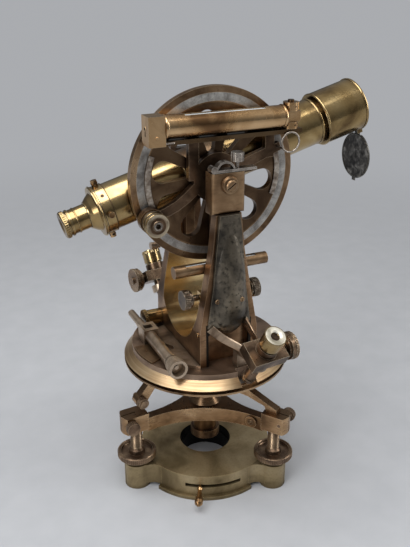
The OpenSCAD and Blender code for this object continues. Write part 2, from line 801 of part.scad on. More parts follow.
// The two standards and the floor between them, as one casting
module yoke(curve_z) {
    difference() {
        intersection() {
            plate_yz(-leg_hw_foot - 1, leg_hw_foot + 1)
                polygon([[-yoke_out_foot, plate_z], [yoke_out_foot, plate_z],
                    [yoke_out_head, bearing_low_z], [-yoke_out_head, bearing_low_z]]);
            plate_xz(-yoke_out_foot - 1, yoke_out_foot + 1) standard_outline();
        }
        translate([0, 0, curve_z]) rod_x(yoke_in, -tip, tip);
        box([-tip, -yoke_in, curve_z], [tip, yoke_in, trunnion_z]);
        both_standards() plate_xz(-yoke_out_foot - 5, -yoke_out_foot + arch_depth)
            polygon([[-arch_hw, plate_z - 1], [arch_hw, plate_z - 1], [arch_hw, arch_z - 8],
                [arch_hw - 8, arch_z], [-arch_hw + 8, arch_z], [-arch_hw, arch_z - 8]]);
    }
}

module standard_covers() {
    rise = bearing_low_z - plate_z;
    lean = atan((yoke_out_foot - yoke_out_head) / rise);
    face_low = yoke_out_foot;
    half = leg_hw_foot - rail_w_foot + 3;
    crown_r = (half * half + cover_bulge * cover_bulge) / (2 * cover_bulge);
    color(crackle) both_standards() intersection() {
        plate_xz(-yoke_out_foot - cover_bulge - 2, -yoke_in)
            standard_outline(rail_w_head, rail_w_foot, arch_h + 1);
        translate([0, -face_low, plate_z]) rotate([-lean, 0, 0])
            translate([0, crown_r - cover_bulge, 0]) difference() {
                cylinder(r = crown_r, h = 2 * rise, center = true, $fn = 96);
                box([-tip, cover_bulge - crown_r, -2 * rise], [tip, tip, 2 * rise]);
            }
    }
}

module bearing_blocks() {
    color(bronze) both_standards() difference() {
        box([-bearing_hw, -bearing_out, bearing_low_z], [bearing_hw, -bearing_in, bearing_top_z]);
        translate([0, 0, trunnion_z]) rod_y(trunnion_r + run_gap, -tip, 0);
    }
}

module bearing_caps() {
    color(bronze) both_standards() translate([0, 0, trunnion_z]) {
        rod_y(bearing_cap_r - 1, -bearing_out - bearing_cap_t, -bearing_out - 1, bearing_cap_r);
        rod_y(bearing_cap_r, -bearing_out - 1, -bearing_out);
        rod_y(bearing_cap_r - 3, -bearing_out - bearing_cap_t - 1, -bearing_out - bearing_cap_t);
    }
}

module trunnion_clip() {
    arch_r = 10;
    arch_x = -3;
    color(silver) difference() {
        union() {
            box([-clip_hinge_x, clip_y, clip_low_z], [clip_reach, clip_y + clip_w, clip_low_z + clip_t]);
            translate([arch_x, 0, clip_low_z]) intersection() {
                tube_y(arch_r, arch_r - 1.8, clip_y + 1, clip_y + clip_w - 1);
                box([-arch_r, -bearing_out, 0], [arch_r, 0, arch_r]);
            }
            translate([-clip_hinge_x, 0, clip_low_z + 3]) rod_y(3.2, clip_y, clip_y + clip_w);
        }
        translate([thumb_x, clip_y + clip_w / 2, bearing_top_z])
            cylinder(r = 1.8 + run_gap, h = 20);
    }
}

module clip_thumbscrew() {
    color(silver) translate([thumb_x, clip_y + clip_w / 2, bearing_top_z + 0.3]) {
        cylinder(r = 1.8, h = 10);
        translate([0, 0, 9]) difference() {
            cylinder(r = thumb_r, h = thumb_h);
            for (a = [0 : 30 : 359]) rotate([0, 0, a]) translate([thumb_r + 0.6, 0, -1])
                cylinder(r = 1.1, h = thumb_h + 2);
        }
    }
}

module plate_level_case() {
    pad_z = 5;
    color(bronze) translate([0, plate_level_y, plate_level_z]) {
        difference() {
            rod_x(plate_level_r, -plate_level_half, plate_level_half);
            rod_x(plate_level_r - 1.4, -plate_level_half + 4, plate_level_half - 4);
            box([-plate_level_half + 12, -3, 0], [plate_level_half - 12, 3, plate_level_r + 1]);
        }
        for (x = [-9, 9]) box([x - 3, -yoke_in - plate_level_y, -pad_z + 2],
            [x + 3, -plate_level_r + 0.5, pad_z - 2]);
    }
}

module plate_level_vial() {
    color(lens_glass) translate([0, plate_level_y, plate_level_z])
        rod_x(plate_level_r - 1.6, -plate_level_half + 4, plate_level_half - 4);
}

module microscope_brackets() {
    ring_w = scope_box_w - 13;
    ring_h = 8;
    ring_y = scope_foot_r + ring_w * sin(scope_lean);
    ring_z = divided_z + ring_w * cos(scope_lean);
    post_y = 66;
    color(brass) for (k = [0, 1]) {
        on_microscope(k) translate([0, 0, ring_w]) tube_z(scope_tube_r + 4, scope_tube_r, ring_h);
        rotate([0, 0, scope_turn + 180 * k]) difference() {
            union() {
                box([-5, -post_y - 4, plate_z], [5, -post_y + 4, ring_z + 4]);
                box([-5, -ring_y + 2, ring_z - 2], [5, -post_y + 1, ring_z + 4]);
            }
            translate([0, -scope_foot_r, divided_z]) rotate([scope_lean, 0, 0])
                cylinder(r = scope_tube_r + 3.8, h = 80);
        }
    }
}

module microscopes() {
    eye = scope_eye_r - 1.6;
    color(brass) for (k = [0, 1]) on_microscope(k) difference() {
        union() {
            translate([0, 0, 8]) cylinder(r = scope_tube_r, h = scope_box_w - 8);
            translate([0, 0, 8]) cylinder(r = scope_tube_r + 1, h = 4);
            box([-box_l / 2, -box_b / 2, scope_box_w], [box_l / 2, box_b / 2, scope_box_w + box_t]);
            translate([0, 0, scope_box_w + box_t]) cylinder(r = scope_eye_r, h = 8);
            translate([0, 0, scope_box_w + box_t / 2]) rod_x(5.5, box_l / 2, box_l / 2 + 3);
        }
        translate([0, 0, -1]) cylinder(r = scope_tube_r - 1.5, h = scope_box_w);
        translate([0, 0, scope_box_w + box_t]) cylinder(r = eye + run_gap, h = 20);
        translate([0, 0, scope_box_w + box_t / 2]) rod_x(2 + run_gap, box_l / 2 - 8, box_l);
    }
}

module microscope_eyepiece(k) {
    eye = scope_eye_r - 1.6;
    low = scope_box_w + box_t;
    color(yellow_brass) on_microscope(k) difference() {
        union() {
            translate([0, 0, low + 2]) cylinder(r = eye, h = 8);
            translate([0, 0, low + 10]) cylinder(r = scope_eye_r, h = scope_eye_l - 10);
        }
        translate([0, 0, low]) cylinder(r = 3.5, h = scope_eye_l + 4);
        translate([0, 0, low + scope_eye_l - 3]) cylinder(r1 = 3.5, r2 = 6, h = 3.01);
    }
}

module micrometer_drum(k) {
    x0 = box_l / 2 + 3.3;
    color(silver) on_microscope(k) translate([0, 0, scope_box_w + box_t / 2]) {
        rod_x(2, box_l / 2 - 7, x0 + 1);
        rod_x(drum_r - 2.5, x0, x0 + 2);
        rod_x(drum_r - 0.5, x0 + 2, x0 + drum_l - 3);
        rod_x(drum_r, x0 + drum_l - 3, x0 + drum_l);
        rod_x(4, x0 + drum_l, x0 + drum_l + 2);
    }
}

module tangent_bracket() {
    y_low = -46;
    block_y0 = 12;
    block_y1 = 30;
    rod_end = 72;
    lug_z = plate_z + 3.2;
    color(brass) difference() {
        union() {
            translate([tangent_x, 0, tangent_z]) {
                rod_y(tangent_barrel_r, y_low, block_y0);
                rod_y(tangent_barrel_r + 1, y_low, y_low + 3);
                rod_y(4, block_y1, rod_end);
                rod_y(4.6, block_y1, block_y1 + 14);
            }
            box([tangent_x - 7, block_y0, plate_z], [tangent_x + 9, block_y1, tangent_z + 7]);
            box([tangent_x - 3, y_low + 8, plate_z], [tangent_x + 3, block_y0, tangent_z]);
            linear_plate(lug_z);
        }
        translate([tangent_x, 0, tangent_z]) rod_y(3 + run_gap, y_low - 1, block_y0 - 4);
        box([tangent_x - 4, block_y0 + 5, tangent_z], [tangent_x + 5, block_y1 - 5, tangent_z + 8]);
        translate([0, 0, plate_z - 1]) linear_extrude(8)
            polygon([[tangent_x + 8, -17], [tangent_x + 16, -14], [tangent_x + 17, -8],
                [tangent_x + 8, 5]]);
    }
}

// Flat plate that ties the tangent screw to the foot of the standards
module linear_plate(top) {
    translate([0, 0, plate_z]) linear_extrude(top - plate_z)
        polygon([[tangent_x, -38], [-leg_hw_foot - 0.4, -58], [-leg_hw_foot - 0.4, 40],
            [tangent_x, 30]]);
}

module upper_tangent_screw() {
    y_head = -47;
    l = 17;
    rim_x = tangent_x + sqrt(max(0, tangent_head_r * tangent_head_r - tangent_h * tangent_h));
    rim_y = min(y_head - 9, -sqrt(max(0, plate_r * plate_r - rim_x * rim_x)) - 0.4);
    color(brass) translate([tangent_x, 0, tangent_z]) {
        rod_y(3, y_head, 6);
        difference() {
            union() {
                rod_y(tangent_head_r - 2.5, y_head - 4, y_head);
                rod_y(tangent_head_r - 1, rim_y - 0.3, y_head - 4);
                rod_y(tangent_head_r, y_head - l, rim_y);
            }
            rod_y(tangent_head_r - 2.4, y_head - l - 1, rim_y);
        }
        rod_y(2, y_head - 12, y_head - 8);
    }
}

module plate_cover() {
    color(bronze) translate([0, 0, plate_z]) linear_extrude(1.4) difference() {
        arc_strip(60, plate_r - 1.2, 172, 202);
        translate([tangent_x - 8, 10]) square([40, 60]);
        translate([tangent_x - 3.2, -80]) square([40, 100]);
    }
}

module upper_clamp_knob() {
    x = -leg_hw_foot - 0.3;
    color(yellow_brass) translate([0, clamp_knob_y, clamp_knob_z]) {
        rod_x(clamp_knob_r - 1, x - clamp_knob_l, x);
        rod_x(clamp_knob_r, x - clamp_knob_l - 4, x - clamp_knob_l);
        rod_x(3, x, x + 8);
    }
}

module telescope_clamp_arm() {
    ring_y0 = sleeve_back_y + 0.4;
    ring_y1 = bearing_in - 0.3;
    arm_y0 = yoke_in - 7;
    arm_y1 = yoke_in - 0.6;
    bend_z = bearing_low_z - 8;
    color(bronze) difference() {
        union() {
            translate([0, 0, trunnion_z]) rod_y(trunnion_r + 7, ring_y0, ring_y1);
            plate_xz(ring_y0, ring_y1) polygon([[-7, trunnion_z], [7, trunnion_z],
                [6, bend_z - 6], [-6, bend_z - 6]]);
            box([-5, arm_y0, plate_level_z - 6], [5, arm_y1, bend_z]);
        }
        translate([0, 0, trunnion_z]) rod_y(trunnion_r + run_gap, ring_y0 - 1, ring_y1 + 1);
        translate([0, arm_screw_y, plate_level_z]) rod_x(2 + run_gap, -tip, tip);
    }
}

module telescope_tangent_screw() {
    color(brass) translate([0, arm_screw_y, plate_level_z]) {
        rod_x(2, -36, 8);
        rod_x(3, -37, -34);
        rod_x(4, -44, -37);
    }
}

module telescope_centre() {
    color(bronze) difference() {
        union() {
            on_telescope() translate([0, scope_y, 0]) rod_x(sleeve_r, -sleeve_half, sleeve_half);
            translate([0, 0, trunnion_z]) {
                rod_y(16, circle_back_y, sleeve_back_y);
                rod_y(trunnion_r, -bearing_out + 1, bearing_out - 1);
            }
        }
        on_telescope() translate([0, scope_y, 0])
            rod_x(tube_r_eye, -sleeve_half - 1, sleeve_half + 1);
    }
}

module vertical_circle() {
    step = 360 / spoke_count;
    color(bronze) difference() {
        translate([0, 0, trunnion_z]) plate_xz(circle_face_y, circle_back_y) difference() {
            circle(r = circle_r, $fn = 160);
            circle(r = trunnion_r);
            for (k = [0 : spoke_count - 1]) rotate(spoke_start + (k + 0.5) * step)
                egg(circle_hub_r + 5, 4, circle_rim_in - 10.5, 10.5);
        }
        translate([0, 0, trunnion_z])
            tube_y(circle_scale_out, circle_scale_in, circle_face_y - 1, circle_face_y + scale_t);
    }
}

module circle_scale() {
    color(silver) translate([0, 0, trunnion_z])
        tube_y(circle_scale_out, circle_scale_in, circle_face_y, circle_face_y + scale_t);
}

module telescope_tube() {
    color(yellow_brass) on_telescope() translate([0, scope_y, 0]) difference() {
        union() {
            rod_x(tube_r_eye, -tube_back, sleeve_half);
            rod_x(tube_r_obj, sleeve_half, tube_front);
        }
        rod_x(tube_r_eye - tube_wall, -tube_back - 1, sleeve_half);
        rod_x(tube_r_obj - tube_wall, sleeve_half - 1, tube_front + 1);
        translate([focus_at, 0, 0]) rod_y(2.5 + run_gap, 0, tube_r_obj + 5);
    }
}

module reticle_screws() {
    at = -tube_back - collar_len / 2;
    ring_r = 15;
    color(brass) on_telescope() translate([at, scope_y, 0]) {
        tube_x(ring_r, 11, -1.5, 1.5);
        for (a = [-5 : 90 : 265]) rotate([a, 0, 0]) {
            translate([0, 0, ring_r - 0.5]) cylinder(r = 1.4, h = collar_r - ring_r + 0.5);
            translate([0, 0, collar_r]) cylinder(r = 3, h = 5.5);
        }
    }
}

module eyepiece_mount() {
    bore = eyepiece_r - 1.2 + run_gap;
    inner = tube_r_eye - tube_wall;
    color(yellow_brass) on_telescope() translate([0, scope_y, 0]) difference() {
        rotate([0, -90, 0]) rotate_extrude($fn = 96) polygon([[inner, tube_back],
            [collar_r, tube_back], [collar_r, flange_back - 0.8], [eye_flange_r - 1.5, flange_back - 0.8],
            [eye_flange_r - 1.5, flange_back], [eye_flange_r, flange_back],
            [eye_flange_r, flange_back + eye_flange_t], [19, flange_back + eye_flange_t + 0.5],
            [16, eye_cone_back - 4], [eyepiece_rim_r + 0.4, eye_cone_back - 1],
            [eyepiece_rim_r, eye_cone_back], [bore, eye_cone_back], [bore, flange_back],
            [inner, flange_back]]);
        translate([-tube_back - collar_len / 2, 0, 0]) for (a = [-5 : 90 : 265])
            rotate([a, 0, 0]) cylinder(r = 1.4, h = 40);
    }
}

module telescope_eyepiece() {
    barrel = eyepiece_r;
    start = eye_cone_back + 0.4;
    color(yellow_brass) on_telescope() translate([0, scope_y, 0]) rotate([0, -90, 0])
        rotate_extrude($fn = 96) polygon([[4, flange_back - 2], [barrel - 1.2, flange_back - 2],
            [barrel - 1.2, start], [barrel, start], [barrel, eyepiece_end - 8.5],
            [eyepiece_rim_r - 0.2, eyepiece_end - 8.5], [eyepiece_rim_r - 0.2, eyepiece_end - 6.5],
            [barrel + 0.2, eyepiece_end - 6], [barrel + 0.2, eyepiece_end - 5],
            [eyepiece_rim_r, eyepiece_end - 4.5], [eyepiece_rim_r, eyepiece_end - 1],
            [eyepiece_rim_r - 1, eyepiece_end], [8, eyepiece_end], [4, eyepiece_end - 2]]);
}

module dew_cap() {
    draw_r = tube_r_obj - tube_wall - run_gap;
    hinge_z = -dew_r - 2.3;
    color(yellow_brass) on_telescope() translate([0, scope_y, 0]) {
        rotate([0, 90, 0]) rotate_extrude($fn = 96) polygon([[draw_r - 1.4, focus_at - 8],
            [draw_r, focus_at - 8], [draw_r, dew_back], [dew_r - 0.6, dew_back],
            [dew_r, dew_back + 0.6], [dew_r, dew_front - 2], [dew_r + 0.5, dew_front - 1.6],
            [dew_r + 0.5, dew_front - 0.4], [dew_r, dew_front], [dew_r - 3, dew_front],
            [dew_r - 3, dew_front - 1.2], [dew_r - dew_wall, dew_front - 2],
            [dew_r - dew_wall, dew_back + 2], [draw_r - 1.4, dew_back + 2]]);
        for (s = [-1, 1]) box([dew_front - 3, min(s * 4.6, s * 6.5), hinge_z - 1.6],
            [dew_front + 2.4, max(s * 4.6, s * 6.5), -dew_r * 0.96]);
        translate([dew_front + 0.8, 0, hinge_z]) rod_y(0.9, -6.5, 6.5);
    }
}

module objective_lens() {
    r = tube_r_obj - tube_wall - run_gap - 1.4;
    color(lens_glass) on_telescope() translate([dew_back - 8, scope_y, 0]) rod_x(r - 0.02, 0, 5);
}

module objective_cover() {
    drop = dew_r + 0.5;
    color(crackle) on_telescope() translate([dew_front + 0.8, scope_y, -dew_r - 2.3])
        rotate([0, tilt, 0]) difference() {
            union() {
                translate([0, 0, -drop]) rod_x(flap_r, -flap_t / 2, flap_t / 2);
                box([-flap_t / 2, -4, -drop], [flap_t / 2, 4, 0]);
                box([-flap_t / 2, -2.5, -drop - flap_r - 3], [flap_t / 2, 2.5, -drop]);
                rod_y(1.7, -4, 4);
            }
            rod_y(0.9 + run_gap, -5, 5);
            // Notches that pass the two ears of the hinge
            for (s = [-1, 1])
                box([-flap_t, min(s * 4.25, s * 7.2), -5], [flap_t, max(s * 4.25, s * 7.2), 4]);
        }
}

module focus_knob() {
    y0 = scope_y + tube_r_obj - tube_wall + 0.5;
    y1 = scope_y + tube_r_obj + 0.6;
    color(brass) on_telescope() translate([focus_at, 0, 0]) {
        rod_y(2.5, y0, y1 + 1);
        rod_y(focus_knob_r - 1.5, y1, y1 + 3);
        rod_y(focus_knob_r, y1 + 3, y1 + 10);
    }
}

module index_frame() {
    hang = trunnion_z - clip_screw_z;
    post_top = level_bar_low_z - trunnion_z;
    bowed = [[0, 0], [0.22, -0.18], [0.36, 0.12], [0.5, 0.62], [0.66, 1], [0.82, 1.06], [1, 0.9]];
    holder_y0 = index_front_y - 3;
    color(dark_bronze) translate([0, 0, trunnion_z]) difference() {
        union() {
            plate_xz(index_front_y, vernier_front_y) {
                circle(r = index_hub_r);
                rotate(index_arm_at)
                    polygon([[0, -index_arm_w / 2], [vernier_in + 6, -4], [vernier_in + 6, 4],
                        [0, index_arm_w / 2]]);
                rotate(180 + index_arm_at) polygon([for (s = [-1, 1], k = [0 : 6])
                    let (p = bowed[s < 0 ? k : 6 - k], hw = index_arm_w / 2 - (index_arm_w / 2 - 4) * p[0])
                        [p[0] * (vernier_in + 6), p[1] * index_arm_bow + s * hw]]);
                polygon([[-6.5, 0], [6.5, 0], [4.7, -hang - clip_arm_tail], [-4.7, -hang - clip_arm_tail]]);
                translate([-29, 0]) square([10, post_top]);
                translate([50, 14]) square([9.5, post_top - 14]);
            }
            rotate([0, -180 - reader_angle, 0]) translate([reader_at, 0, 0])
                rod_y(reader_r + 1.8, holder_y0, vernier_front_y - 1.2);
            box([-4.7, clip_screw_y - 4, -hang - 6], [4.7, vernier_front_y, -hang + 4]);
        }
        rod_y(trunnion_r + run_gap, -tip, 0);
        rotate([0, -180 - reader_angle, 0]) translate([reader_at, 0, 0])
            rod_y(reader_r + run_gap, -tip, 0);
    }
}

module reader_ring() {
    ring_y = index_front_y - 12.5;
    wire = 0.9;
    color(silver) translate([ring_at * cos(ring_angle), 0, trunnion_z + ring_at * sin(ring_angle)]) {
        translate([0, ring_y, 0]) rotate([90, 0, 0])
            rotate_extrude() translate([ring_r, 0]) circle(r = wire, $fn = 16);
        rotate([0, -ring_angle - 195, 0]) translate([ring_r, 0, 0])
            rod_y(wire, ring_y, index_front_y);
    }
}

module verniers() {
    color(silver) translate([0, 0, trunnion_z]) plate_xz(vernier_front_y, vernier_back_y)
        for (side = [0, 180]) rotate(side)
            arc_strip(vernier_in, circle_scale_in - 0.3, -vernier_span / 2, vernier_span / 2 + 4);
}

module reader() {
    y1 = vernier_front_y - 2;
    y0 = y1 - reader_len;
    bore = 6;
    color(yellow_brass) translate([0, 0, trunnion_z]) rotate([0, -180 - reader_angle, 0])
        translate([reader_at, 0, 0]) difference() {
            union() {
                rod_y(reader_r, y0, y1);
                rod_y(reader_r + 0.8, y0, y0 + 5);
            }
            rod_y(bore, y0 - 1, y1 - 6);
            rod_y(bore - 2.5, y1 - 7, y1 + 1);
            rod_y(bore + 2.2, y0 - 0.01, y0 + 1.5, bore);
        }
}

module level_bar() {
    stud_x = level_right + 8;
    block_x0 = level_left - level_block_l;
    color(brass) {
        box([level_left, level_y - 6, level_bar_low_z],
            [level_right + 18, index_mid_y, level_bar_top_z]);
        difference() {
            box([block_x0, level_y - level_block_w / 2, level_bar_low_z],
                [level_left, level_y + level_block_w / 2, level_z + level_r + 0.5]);
            translate([0, level_y, level_z]) {
                rod_x(1.8, block_x0 - 1, block_x0 + 5);
                box([block_x0 - 1, -1, -7], [block_x0 + 5, 1, 0]);
            }
        }
        translate([stud_x, level_y, level_bar_top_z]) cylinder(r = 3, h = level_z + 15 - level_bar_top_z);
    }
}

module level_tube() {
    tongue = 5;
    color(brass) translate([0, level_y, level_z]) difference() {
        union() {
            rod_x(level_r, level_left, level_right);
            box([level_right - 1, -5.5, -tongue], [level_right + 16, 5.5, tongue]);
        }
        rod_x(level_r - level_wall, level_left + 2, level_right - 2);
        box([level_left + 20, -4.5, 0], [level_right - 20, 4.5, level_r + 1]);
        translate([level_right + 8, 0, -20]) cylinder(r = 3.05, h = 40);
    }
}

module level_vial() {
    color(lens_glass) translate([0, level_y, level_z])
        rod_x(level_r - level_wall - 0.1, level_left + 2, level_right - 2);
}

module level_nuts() {
    tongue = 5;
    low_h = level_z - tongue - level_bar_top_z;
    color(brass) translate([level_right + 8, level_y, 0]) {
        translate([0, 0, level_bar_top_z]) tube_z(level_nut_r, 3, low_h);
        translate([0, 0, level_z + tongue]) tube_z(level_nut_r, 3, 8);
    }
}

module clip_screw(side) {
    color(silver) translate([0, clip_screw_y, clip_screw_z]) mirror([side, 0, 0]) {
        rod_x(3, 5, leg_hw_foot + 1);
        rod_x(clip_head_r - 1, leg_hw_foot + 1, leg_hw_foot + 3);
        rod_x(clip_head_r, leg_hw_foot + 3, leg_hw_foot + 10);
    }
}

base_plate();
bottom_plate();
tribrach();
pinch_screws();
centre_nut();
lower_clamp();
locking_plate();
locking_lever();
foot_screw(0);  // foot_screw_1
foot_screw(1);  // foot_screw_2
foot_screw(2);  // foot_screw_3
lower_tangent_screw();
limb();
horizontal_scale();
alidade_plate();
alidade_axis();
standards();
standard_covers();
bearing_blocks();
bearing_caps();
plate_level_case();
plate_level_vial();
microscope_brackets();
microscopes();
tangent_bracket();
plate_cover();
telescope_clamp_arm();
micrometer_drum(0);  // micrometer_drum_a
microscope_eyepiece(0);  // microscope_eyepiece_a
micrometer_drum(1);  // micrometer_drum_b
microscope_eyepiece(1);  // microscope_eyepiece_b
upper_clamp_knob();
upper_tangent_screw();
trunnion_clip();  // trunnion_clip_front
mirror([0, 1, 0]) trunnion_clip();  // trunnion_clip_back
clip_thumbscrew();  // clip_thumbscrew_front
mirror([0, 1, 0]) clip_thumbscrew();  // clip_thumbscrew_back
telescope_tangent_screw();
telescope_centre();
vertical_circle();
circle_scale();
telescope_tube();
reticle_screws();
eyepiece_mount();
telescope_eyepiece();
dew_cap();
objective_lens();
objective_cover();
focus_knob();
index_frame();
verniers();
reader();
reader_ring();
level_bar();
level_tube();
level_vial();
level_nuts();
clip_screw(1);  // clip_screw_left
clip_screw(0);  // clip_screw_right
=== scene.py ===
import bpy, bmesh, math
from mathutils import Vector, Matrix


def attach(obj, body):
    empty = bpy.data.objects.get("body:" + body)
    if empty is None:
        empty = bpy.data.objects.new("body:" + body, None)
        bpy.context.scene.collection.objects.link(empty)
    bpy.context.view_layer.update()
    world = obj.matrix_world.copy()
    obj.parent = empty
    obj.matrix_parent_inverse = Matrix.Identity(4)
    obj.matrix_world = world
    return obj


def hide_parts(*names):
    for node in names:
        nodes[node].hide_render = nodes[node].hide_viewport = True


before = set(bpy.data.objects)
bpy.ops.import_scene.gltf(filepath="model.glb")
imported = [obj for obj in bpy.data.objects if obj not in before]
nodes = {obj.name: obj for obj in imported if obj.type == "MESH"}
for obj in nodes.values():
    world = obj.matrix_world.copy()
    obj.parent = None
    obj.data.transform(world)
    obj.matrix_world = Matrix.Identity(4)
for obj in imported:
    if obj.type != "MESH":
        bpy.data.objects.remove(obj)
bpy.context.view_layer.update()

scene = bpy.context.scene


# Base: a cast brass plate with three split ears, screwed to a bottom plate that carries the
# tripod thread. The old lacquer has gone olive, with dark freckles, painted shade in the corners
# and paler rubbed patches, and the bore in the middle is painted black as the shade in the hole.
def tint(rgb):
    return (rgb[0], rgb[1], rgb[2], 1.0)


def ramp(tree, factor, stops):
    node = tree.nodes.new("ShaderNodeValToRGB")
    marks = node.color_ramp.elements
    marks[0].position, marks[0].color = stops[0][0], tint(stops[0][1])
    marks[1].position, marks[1].color = stops[-1][0], tint(stops[-1][1])
    for place, colour in stops[1:-1]:
        marks.new(place).color = tint(colour)
    tree.links.new(factor, node.inputs["Fac"])
    return node.outputs["Color"]


def cloud(tree, vector, scale, detail=4.0, distortion=0.0):
    node = tree.nodes.new("ShaderNodeTexNoise")
    node.inputs["Scale"].default_value = scale
    node.inputs["Detail"].default_value = detail
    node.inputs["Distortion"].default_value = distortion
    tree.links.new(vector, node.inputs["Vector"])
    return node.outputs["Fac"]


def sums(tree, kind, a, b=None, c=None):
    node = tree.nodes.new("ShaderNodeMath")
    node.operation = kind
    for place, value in enumerate((a, b, c)):
        if value is None:
            continue
        if isinstance(value, (int, float)):
            node.inputs[place].default_value = value
        else:
            tree.links.new(value, node.inputs[place])
    return node.outputs[0]


def times(tree, a, b):
    return sums(tree, "MULTIPLY", a, b)


def less(tree, a, limit):
    return sums(tree, "LESS_THAN", a, limit)


def more(tree, a, limit):
    return sums(tree, "GREATER_THAN", a, limit)


def radius_of(tree, a, b):
    return sums(tree, "SQRT", sums(tree, "ADD", times(tree, a, a), times(tree, b, b)))


def spread(tree, value, low, high, bottom=0.0, top=1.0, kind="LINEAR"):
    node = tree.nodes.new("ShaderNodeMapRange")
    node.interpolation_type = kind
    for name, number in (("From Min", low), ("From Max", high),
                         ("To Min", bottom), ("To Max", top)):
        node.inputs[name].default_value = number
    tree.links.new(value, node.inputs["Value"])
    return node.outputs["Result"]


def blend_colour(tree, factor, a, b):
    node = tree.nodes.new("ShaderNodeMix")
    node.data_type = "RGBA"
    for name, value in (("Factor_Float", factor), ("A_Color", a), ("B_Color", b)):
        socket = [s for s in node.inputs if s.identifier == name][0]
        if isinstance(value, tuple):
            socket.default_value = tint(value)
        else:
            tree.links.new(value, socket)
    return [s for s in node.outputs if s.identifier == "Result_Color"][0]


def object_place(tree):
    return [node for node in tree.nodes if node.type == "TEX_COORD"][0].outputs["Object"]


def axes(tree, vector):
    split = tree.nodes.new("ShaderNodeSeparateXYZ")
    tree.links.new(vector, split.inputs[0])
    return split.outputs["X"], split.outputs["Y"], split.outputs["Z"]


def paint_over(tree, mask, colour):
    base = tree.nodes["Principled BSDF"].inputs["Base Color"]
    tree.links.new(blend_colour(tree, mask, base.links[0].from_socket, colour), base)


def edge_wear(tree, width, low, high):
    soft = tree.nodes.new("ShaderNodeBevel")
    soft.samples = 4
    soft.inputs["Radius"].default_value = width
    flat = tree.nodes.new("ShaderNodeNewGeometry")
    dot = tree.nodes.new("ShaderNodeVectorMath")
    dot.operation = "DOT_PRODUCT"
    tree.links.new(soft.outputs["Normal"], dot.inputs[0])
    tree.links.new(flat.outputs["Normal"], dot.inputs[1])
    return spread(tree, dot.outputs["Value"], high, low)


# Painted shade: how far a point sits in a corner or recess, taken from ambient occlusion.
def painted_corner_shade(tree, reach):
    node = tree.nodes.new("ShaderNodeAmbientOcclusion")
    node.samples = 4
    node.inputs["Distance"].default_value = reach
    return sums(tree, "SUBTRACT", 1.0, node.outputs["AO"])


def start_material(name):
    material = bpy.data.materials.new(name)
    material.use_nodes = True
    tree = material.node_tree
    place = tree.nodes.new("ShaderNodeTexCoord").outputs["Object"]
    return material, tree, tree.nodes["Principled BSDF"], place


# Every old metal here is built the same way: broad patches from dark to bright, fine freckles,
# edges rubbed to a paler colour, and painted shade darkening the corners.
def aged_metal(name, dark, middle, bright, worn, metallic, rough, patches, spots, wear, corner_shade_strength,
               grain=(1, 1, 1), bump=0.12):
    freckle_scale, rubbed_width, corner_reach, pit_depth = 420, 0.0009, 0.006, 0.0004
    material, tree, shader, place = start_material(name)
    shader.inputs["Metallic"].default_value = metallic
    stretch = tree.nodes.new("ShaderNodeMapping")
    stretch.inputs["Scale"].default_value = grain
    tree.links.new(place, stretch.inputs["Vector"])
    broad = cloud(tree, place, patches, 5, 0.6)
    fine = cloud(tree, stretch.outputs["Vector"], freckle_scale, 6)
    body = ramp(tree, broad, [(0.32, dark), (0.5, middle), (0.68, bright)])
    freckles = times(tree, ramp(tree, fine, [(0.5, (0, 0, 0)), (0.72, (1, 1, 1))]), spots)
    body = blend_colour(tree, freckles, body, dark)
    rubbed = times(tree, edge_wear(tree, rubbed_width, 0.72, 0.985), wear)
    body = blend_colour(tree, rubbed, body, worn)
    # Painted shade: the colour darkens where the surface lies in corners and recesses.
    corner = times(tree, painted_corner_shade(tree, corner_reach), corner_shade_strength)
    body = blend_colour(tree, corner, body, tuple(0.25 * c for c in dark))
    tree.links.new(body, shader.inputs["Base Color"])
    mottle = sums(tree, "ADD", times(tree, broad, 0.6), times(tree, fine, 0.4))
    tree.links.new(spread(tree, mottle, 0.3, 0.7, rough[1], rough[0]), shader.inputs["Roughness"])
    relief = tree.nodes.new("ShaderNodeBump")
    relief.inputs["Strength"].default_value = bump
    relief.inputs["Distance"].default_value = pit_depth
    tree.links.new(fine, relief.inputs["Height"])
    tree.links.new(relief.outputs["Normal"], shader.inputs["Normal"])
    return material


def dress(material, *names):
    for name in names:
        nodes[name].data.materials.clear()
        nodes[name].data.materials.append(material)


olive_brass = aged_metal("olive lacquered brass", (0.12, 0.084, 0.036), (0.310, 0.235, 0.125),
                         (0.43, 0.340, 0.200), (0.58, 0.44, 0.22), metallic=0.6,
                         rough=(0.32, 0.5), patches=20, spots=0.3, wear=0.6, corner_shade_strength=0.95, bump=0.05)
SHADED_BORE_RADIUS, UNDER_BASE_TOP = 0.036, 0.0275
tree = olive_brass.node_tree
x, y, z = axes(tree, object_place(tree))
# Painted shade: inside the bore, below the base top, the colour is near black as the shade in the
# hole.
bore = times(tree, less(tree, radius_of(tree, x, y), SHADED_BORE_RADIUS), less(tree, z, UNDER_BASE_TOP))
paint_over(tree, bore, (0.008, 0.007, 0.006))
dress(olive_brass, "base_plate", "bottom_plate")

# Fillets of the base: the hollow curves that lead the round plate into its three ears.
# They are cast in one with the plate and carry the same lacquer.
MM = 0.001
EARS = (0, 120, 240)
FIRST_EAR_TURN = 65.4
EAR_REACH = 84.5
FILLET_RADIUS, FILLET_STEPS = 14, 14
FILLET_REACH, FILLET_TURN = 85.4, math.radians(18.96)
FILLET_FOOT, FILLET_TOP = 4.4, 27.6


def round_base(angle, out, side=0.0):
    turn = math.radians(FIRST_EAR_TURN + angle)
    return (out * math.cos(turn) - side * math.sin(turn),
            out * math.sin(turn) + side * math.cos(turn))


def settle(piece, name, body, material):
    bpy.ops.object.mode_set(mode="OBJECT")
    bpy.ops.object.select_all(action="DESELECT")
    piece.select_set(True)
    bpy.context.view_layer.objects.active = piece
    bpy.ops.object.transform_apply(location=True, rotation=True, scale=True)
    piece.name = name
    piece.data.materials.clear()
    piece.data.materials.append(material)
    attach(piece, body)
    return piece


